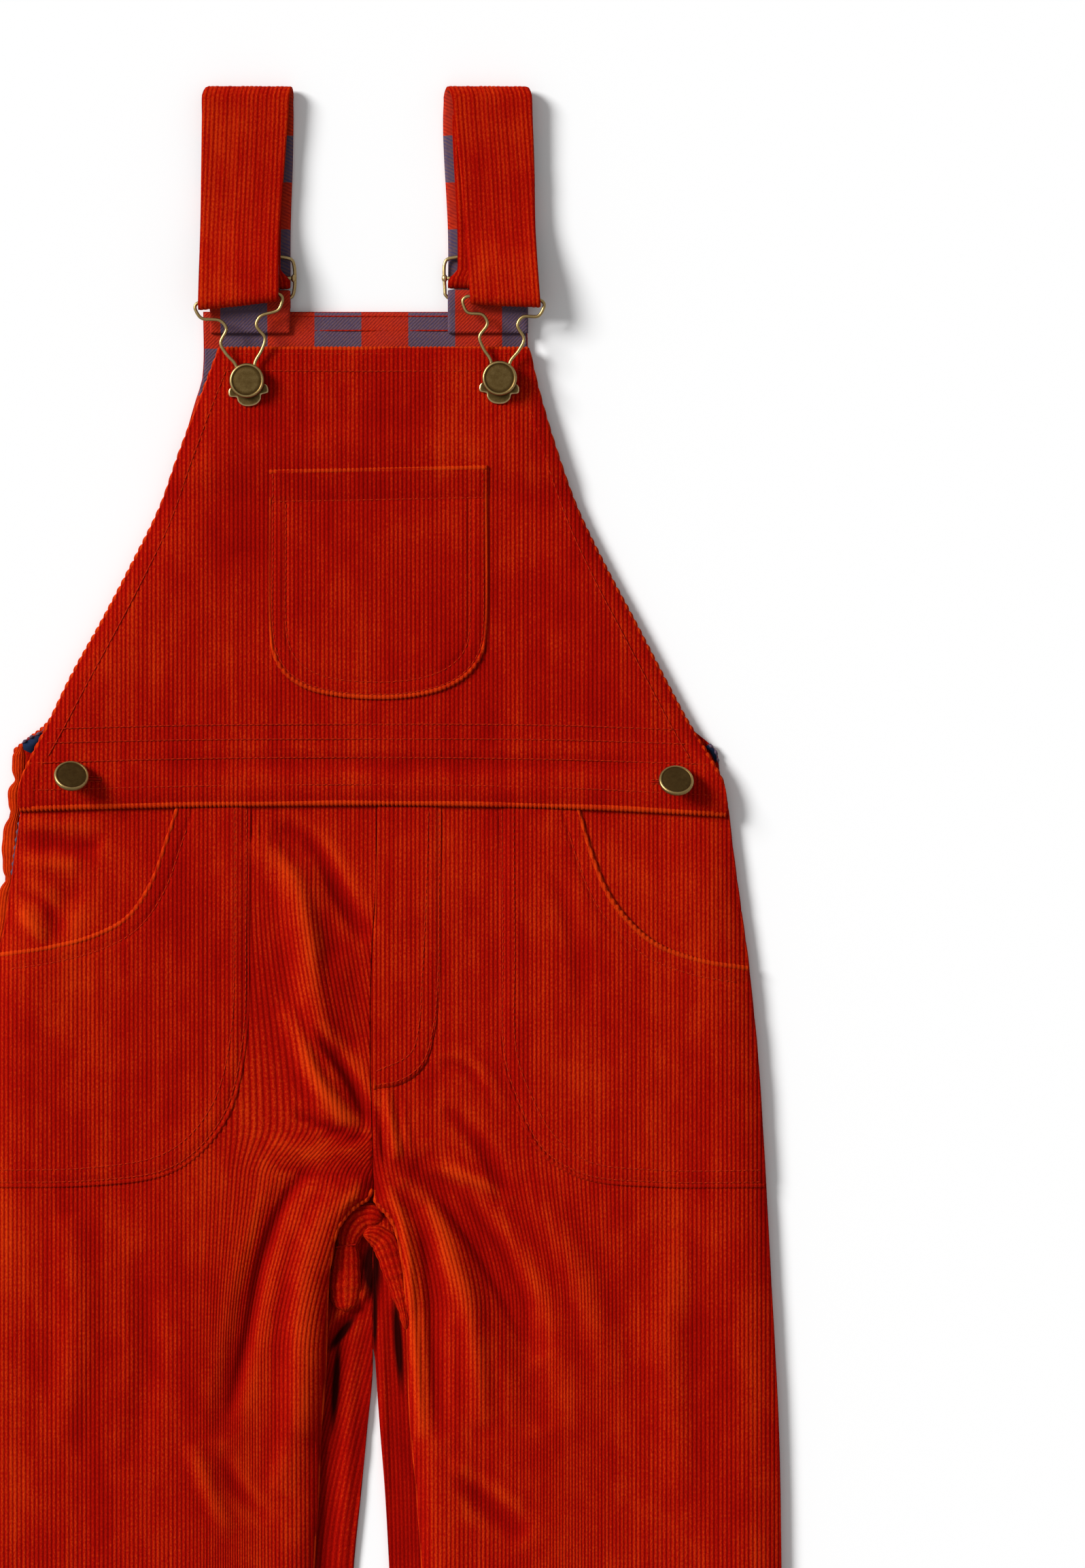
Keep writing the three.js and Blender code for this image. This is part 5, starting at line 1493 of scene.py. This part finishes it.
def sewing_rows():
    threads, seams = Piece(), Piece()
    bib = lambda x, y: bib_top(x, y) + 0.15
    trousers = trouser_top
    hip_top, _ = on_trousers(SEWN_PATCH)
    lap_top, _ = on_trousers(SEWN_LAP)
    lap = lambda x, y: lap_top(x, y) + fly_relief(x, y)
    chest = lambda x, y: chest_top(x, y) + chest_relief(x, y)
    for name, points in BIB_ROWS.items():
        sew(threads, seams, points, bib)
    for name, points in CHEST_ROWS.items():
        sew(threads, seams, points, chest)
    for name, points in FLY_ROWS.items():
        sew(threads, seams, points, lap)
    for side, rows in HIP_ROWS.items():
        relief = hip_relief(side)
        pocket = lambda x, y: hip_top(x, y) + relief(x, y)
        for points in rows:
            sew(threads, seams, points, pocket)
        scoop = below_waist(FRONT_POCKETS[side]["opening"])
        sew(threads, seams, offset(scoop, FRONT_POCKETS[side]["hem"])[4:-2], pocket)
    facing_top = constant(CLOTH + SEAM_GAP + FACING - PILE + SUNK)
    # Dark tubes of painted shade in the back seam's slit, the button slits and across the roll
    back_seam = even(np.array([(0, -160, 1.2), (0, HOLLOW_FOOT + 3, 1.2)], float), spacing=4)
    tube(seams, back_seam, 0.7, 0.8, 6)
    for slit in BUTTON_SLITS:
        path = even(np.array(slit, float), spacing=1)
        tube(seams, np.column_stack([path, bib_top(path[:, 0], path[:, 1]) + 0.2]), 0.55, 0.35, 8)
        for beside in (-0.9, 0.9):
            sew(threads, seams, [(x, y + beside) for x, y in slit], bib)
    across_roll = curve(CROSS_SEAM, spacing=0.5)
    tube(seams, np.column_stack([across_roll, np.full(len(across_roll), CLOTH + 3.15)]), 0.45, 0.35, 6)
    for y in FACING_ROWS:
        sew(threads, seams, [(-66, y), (0, y), (61, y)], facing_top)
    threads.make("sewing_thread", [THREAD], slot="corduroy")
    seams.make("sewn_furrows_painted_shade", [FURROW_SHADE], slot="corduroy")


def pressed_top(top, depth):
    return lambda x, y: top(x, y) - depth


def lobe(piece, rows, level, height):
    """One puffed fold of the back seam inside the crotch, with wales along it."""
    path = curve(rows, spacing=0.6)
    n, around, wales = len(path), 44, 14
    along = np.linspace(0, 1, n)
    ends = np.sqrt(np.clip(np.minimum(along, 1 - along) / 0.06, 0.03, 1))
    angle = (np.arange(around) + 0.5) * 2 * np.pi / around
    nap = ridge(angle / (2 * np.pi) * wales)[None, :] * 0.45
    pucker = 0.3 * np.sin(along * 47)[:, None] * np.sin(along * 19 + 1)[:, None]
    centre = np.column_stack([path[:, :2], np.full(n, level)])
    run = along[:, None] * 5
    weave = lambda ring, angle: np.stack(np.broadcast_arrays(angle[None, :] / (2 * np.pi) * wales, run), axis=-1)
    tube(piece, centre, (path[:, 2:3] + nap + pucker) * ends[:, None], (height + nap + pucker) * ends[:, None],
         around, weave)


def crotch_roll():
    piece = Piece()
    lobe(piece, LEFT_LOBE, CLOTH + 0.9, 2.2)
    lobe(piece, RIGHT_LOBE, CLOTH + 1.7, 2.2)
    piece.make("crotch_roll", [CORDUROY], slot="corduroy")


def side_edge():
    """The back's edge, which bulges out in soft scallops at the left hip."""
    piece = Piece()
    lobe(piece, SIDE_SCALLOPS, 1.75, 0.85)
    piece.make("side_scallops", [WORN_LIT_EDGE_CORDUROY], slot="corduroy")


def side_gaps():
    """Small views into the garment at the hips, each a sheet of lining darkened as painted shade, with the lining's
    edge beside them.
    """
    gaps, edges = Piece(), Piece()
    for corners in SIDE_GAPS:
        level = [(x, y, CLOTH + 0.75) for x, y in corners]
        foot = [(x, y, CLOTH - 0.3) for x, y in corners]
        n = len(corners)
        walls = [[k, k + n, (k + 1) % n + n, (k + 1) % n] for k in range(n)]
        gaps.add(level + foot, [list(range(n)), list(range(n, 2 * n))[::-1]] + walls)
    for points, level in LINING_EDGES:
        path = curve(points, spacing=0.4)
        swell = 0.12 + 0.6 * np.abs(np.sin(np.arange(len(path)) * 0.37))[:, None] ** 3
        tube(edges, np.column_stack([path, np.full(len(path), level)]), swell, swell, 8, (0.5, 0.5))
    gaps.make("side_gaps", [LINING_IN_PAINTED_SHADE], slot="check_lining")
    edges.make("lining_edges", [LINING], slot="check_lining")


def turned_edges():
    piece = Piece()
    left = [(float(BIB_SIDES.at("left", y)), y) for y in (191, 171, 146, 123, 100, 77, 55, 35, 20, 8, -1)]
    right = [(float(BIB_SIDES.at("right", y)), y) for y in (191, 171, 146, 123, 100, 77, 55, 35, 20, 8, -3)]
    edge_roll(piece, left, bib_top, bib_under, 1)
    edge_roll(piece, right, bib_top, bib_under, -1)
    edge_roll(piece, [(-64, BIB_TOP_EDGE), (0, BIB_TOP_EDGE), (65.4, BIB_TOP_EDGE)], bib_top, bib_under, -1)
    waist = [(x, float(waist_edge(np.array(x)))) for x in range(-148, 149, 37)]
    edge_roll(piece, waist, pressed_top(bib_top, 0.5), pressed_top(bib_under, 0.2), 1, 1.0, 0.2)
    edge_roll(piece, BIB_POCKET_TOP, chest_top, bib_top, -1, 0.75)
    edge_roll(piece, [(BIB_POCKET_FOOT[0][0], 139.4)] + BIB_POCKET_FOOT + [(BIB_POCKET_FOOT[-1][0], 141)],
              chest_top, bib_top, 1, 0.75)
    top, under = on_trousers(SEWN_PATCH)
    for side, inward in (("left", 1), ("right", -1)):
        shape = FRONT_POCKETS[side]
        edge_roll(piece, below_waist(shape["opening"]), top, under, inward, 0.8)
        edge_roll(piece, below_waist(shape["foot"])[::inward], pressed_top(top, 0.7), under, 1, 0.7,
                  skin=1)
    top, under = on_trousers(SEWN_LAP)
    edge_roll(piece, below_waist(FLY_SEAM), top, under, 1, 0.6)
    for side, inward in (("left", 1), ("right", -1)):
        seam = [(float(SIDE_SEAM.at("front_" + side, y)), y) for y in range(-2, -330, -16)]
        edge_roll(piece, seam, trouser_top, trouser_under, inward, 0.8, skin=1)
        inseam = [(float(INNER_SEAM.at("front_" + side, y)), y) for y in
                  (-162, -166, -168, -170, -173, -177, -182, -187, -196, -206, -218, -240, -262, -288, -325)]
        edge_roll(piece, inseam, trouser_top, trouser_under, -inward, 0.8)
    back_left = [(float(BACK_SIDES.at("left", y)), y) for y in (50, 34, 28, 25, 22, 12, 1)]
    edge_roll(piece, back_left, constant(CLOTH), constant(0.9), 1, 0.9)
    piece.make("turned_edges", [WORN_LIT_EDGE_CORDUROY, CORDUROY], slot="corduroy")


back_bib()
facing()
front_bib()
bib_pocket()
fly()
for side in ("left", "right"):
    back_leg(side)
    leg(side)
    front_pocket(side)
    strap(side)
    stub(side)
    slider(side)
for hook in HOOKS:
    hook_wire(hook)
    hook_plate(hook)
for place in BUTTONS:
    button(place)
crotch_roll()
side_edge()
side_gaps()
turned_edges()
sewing_rows()
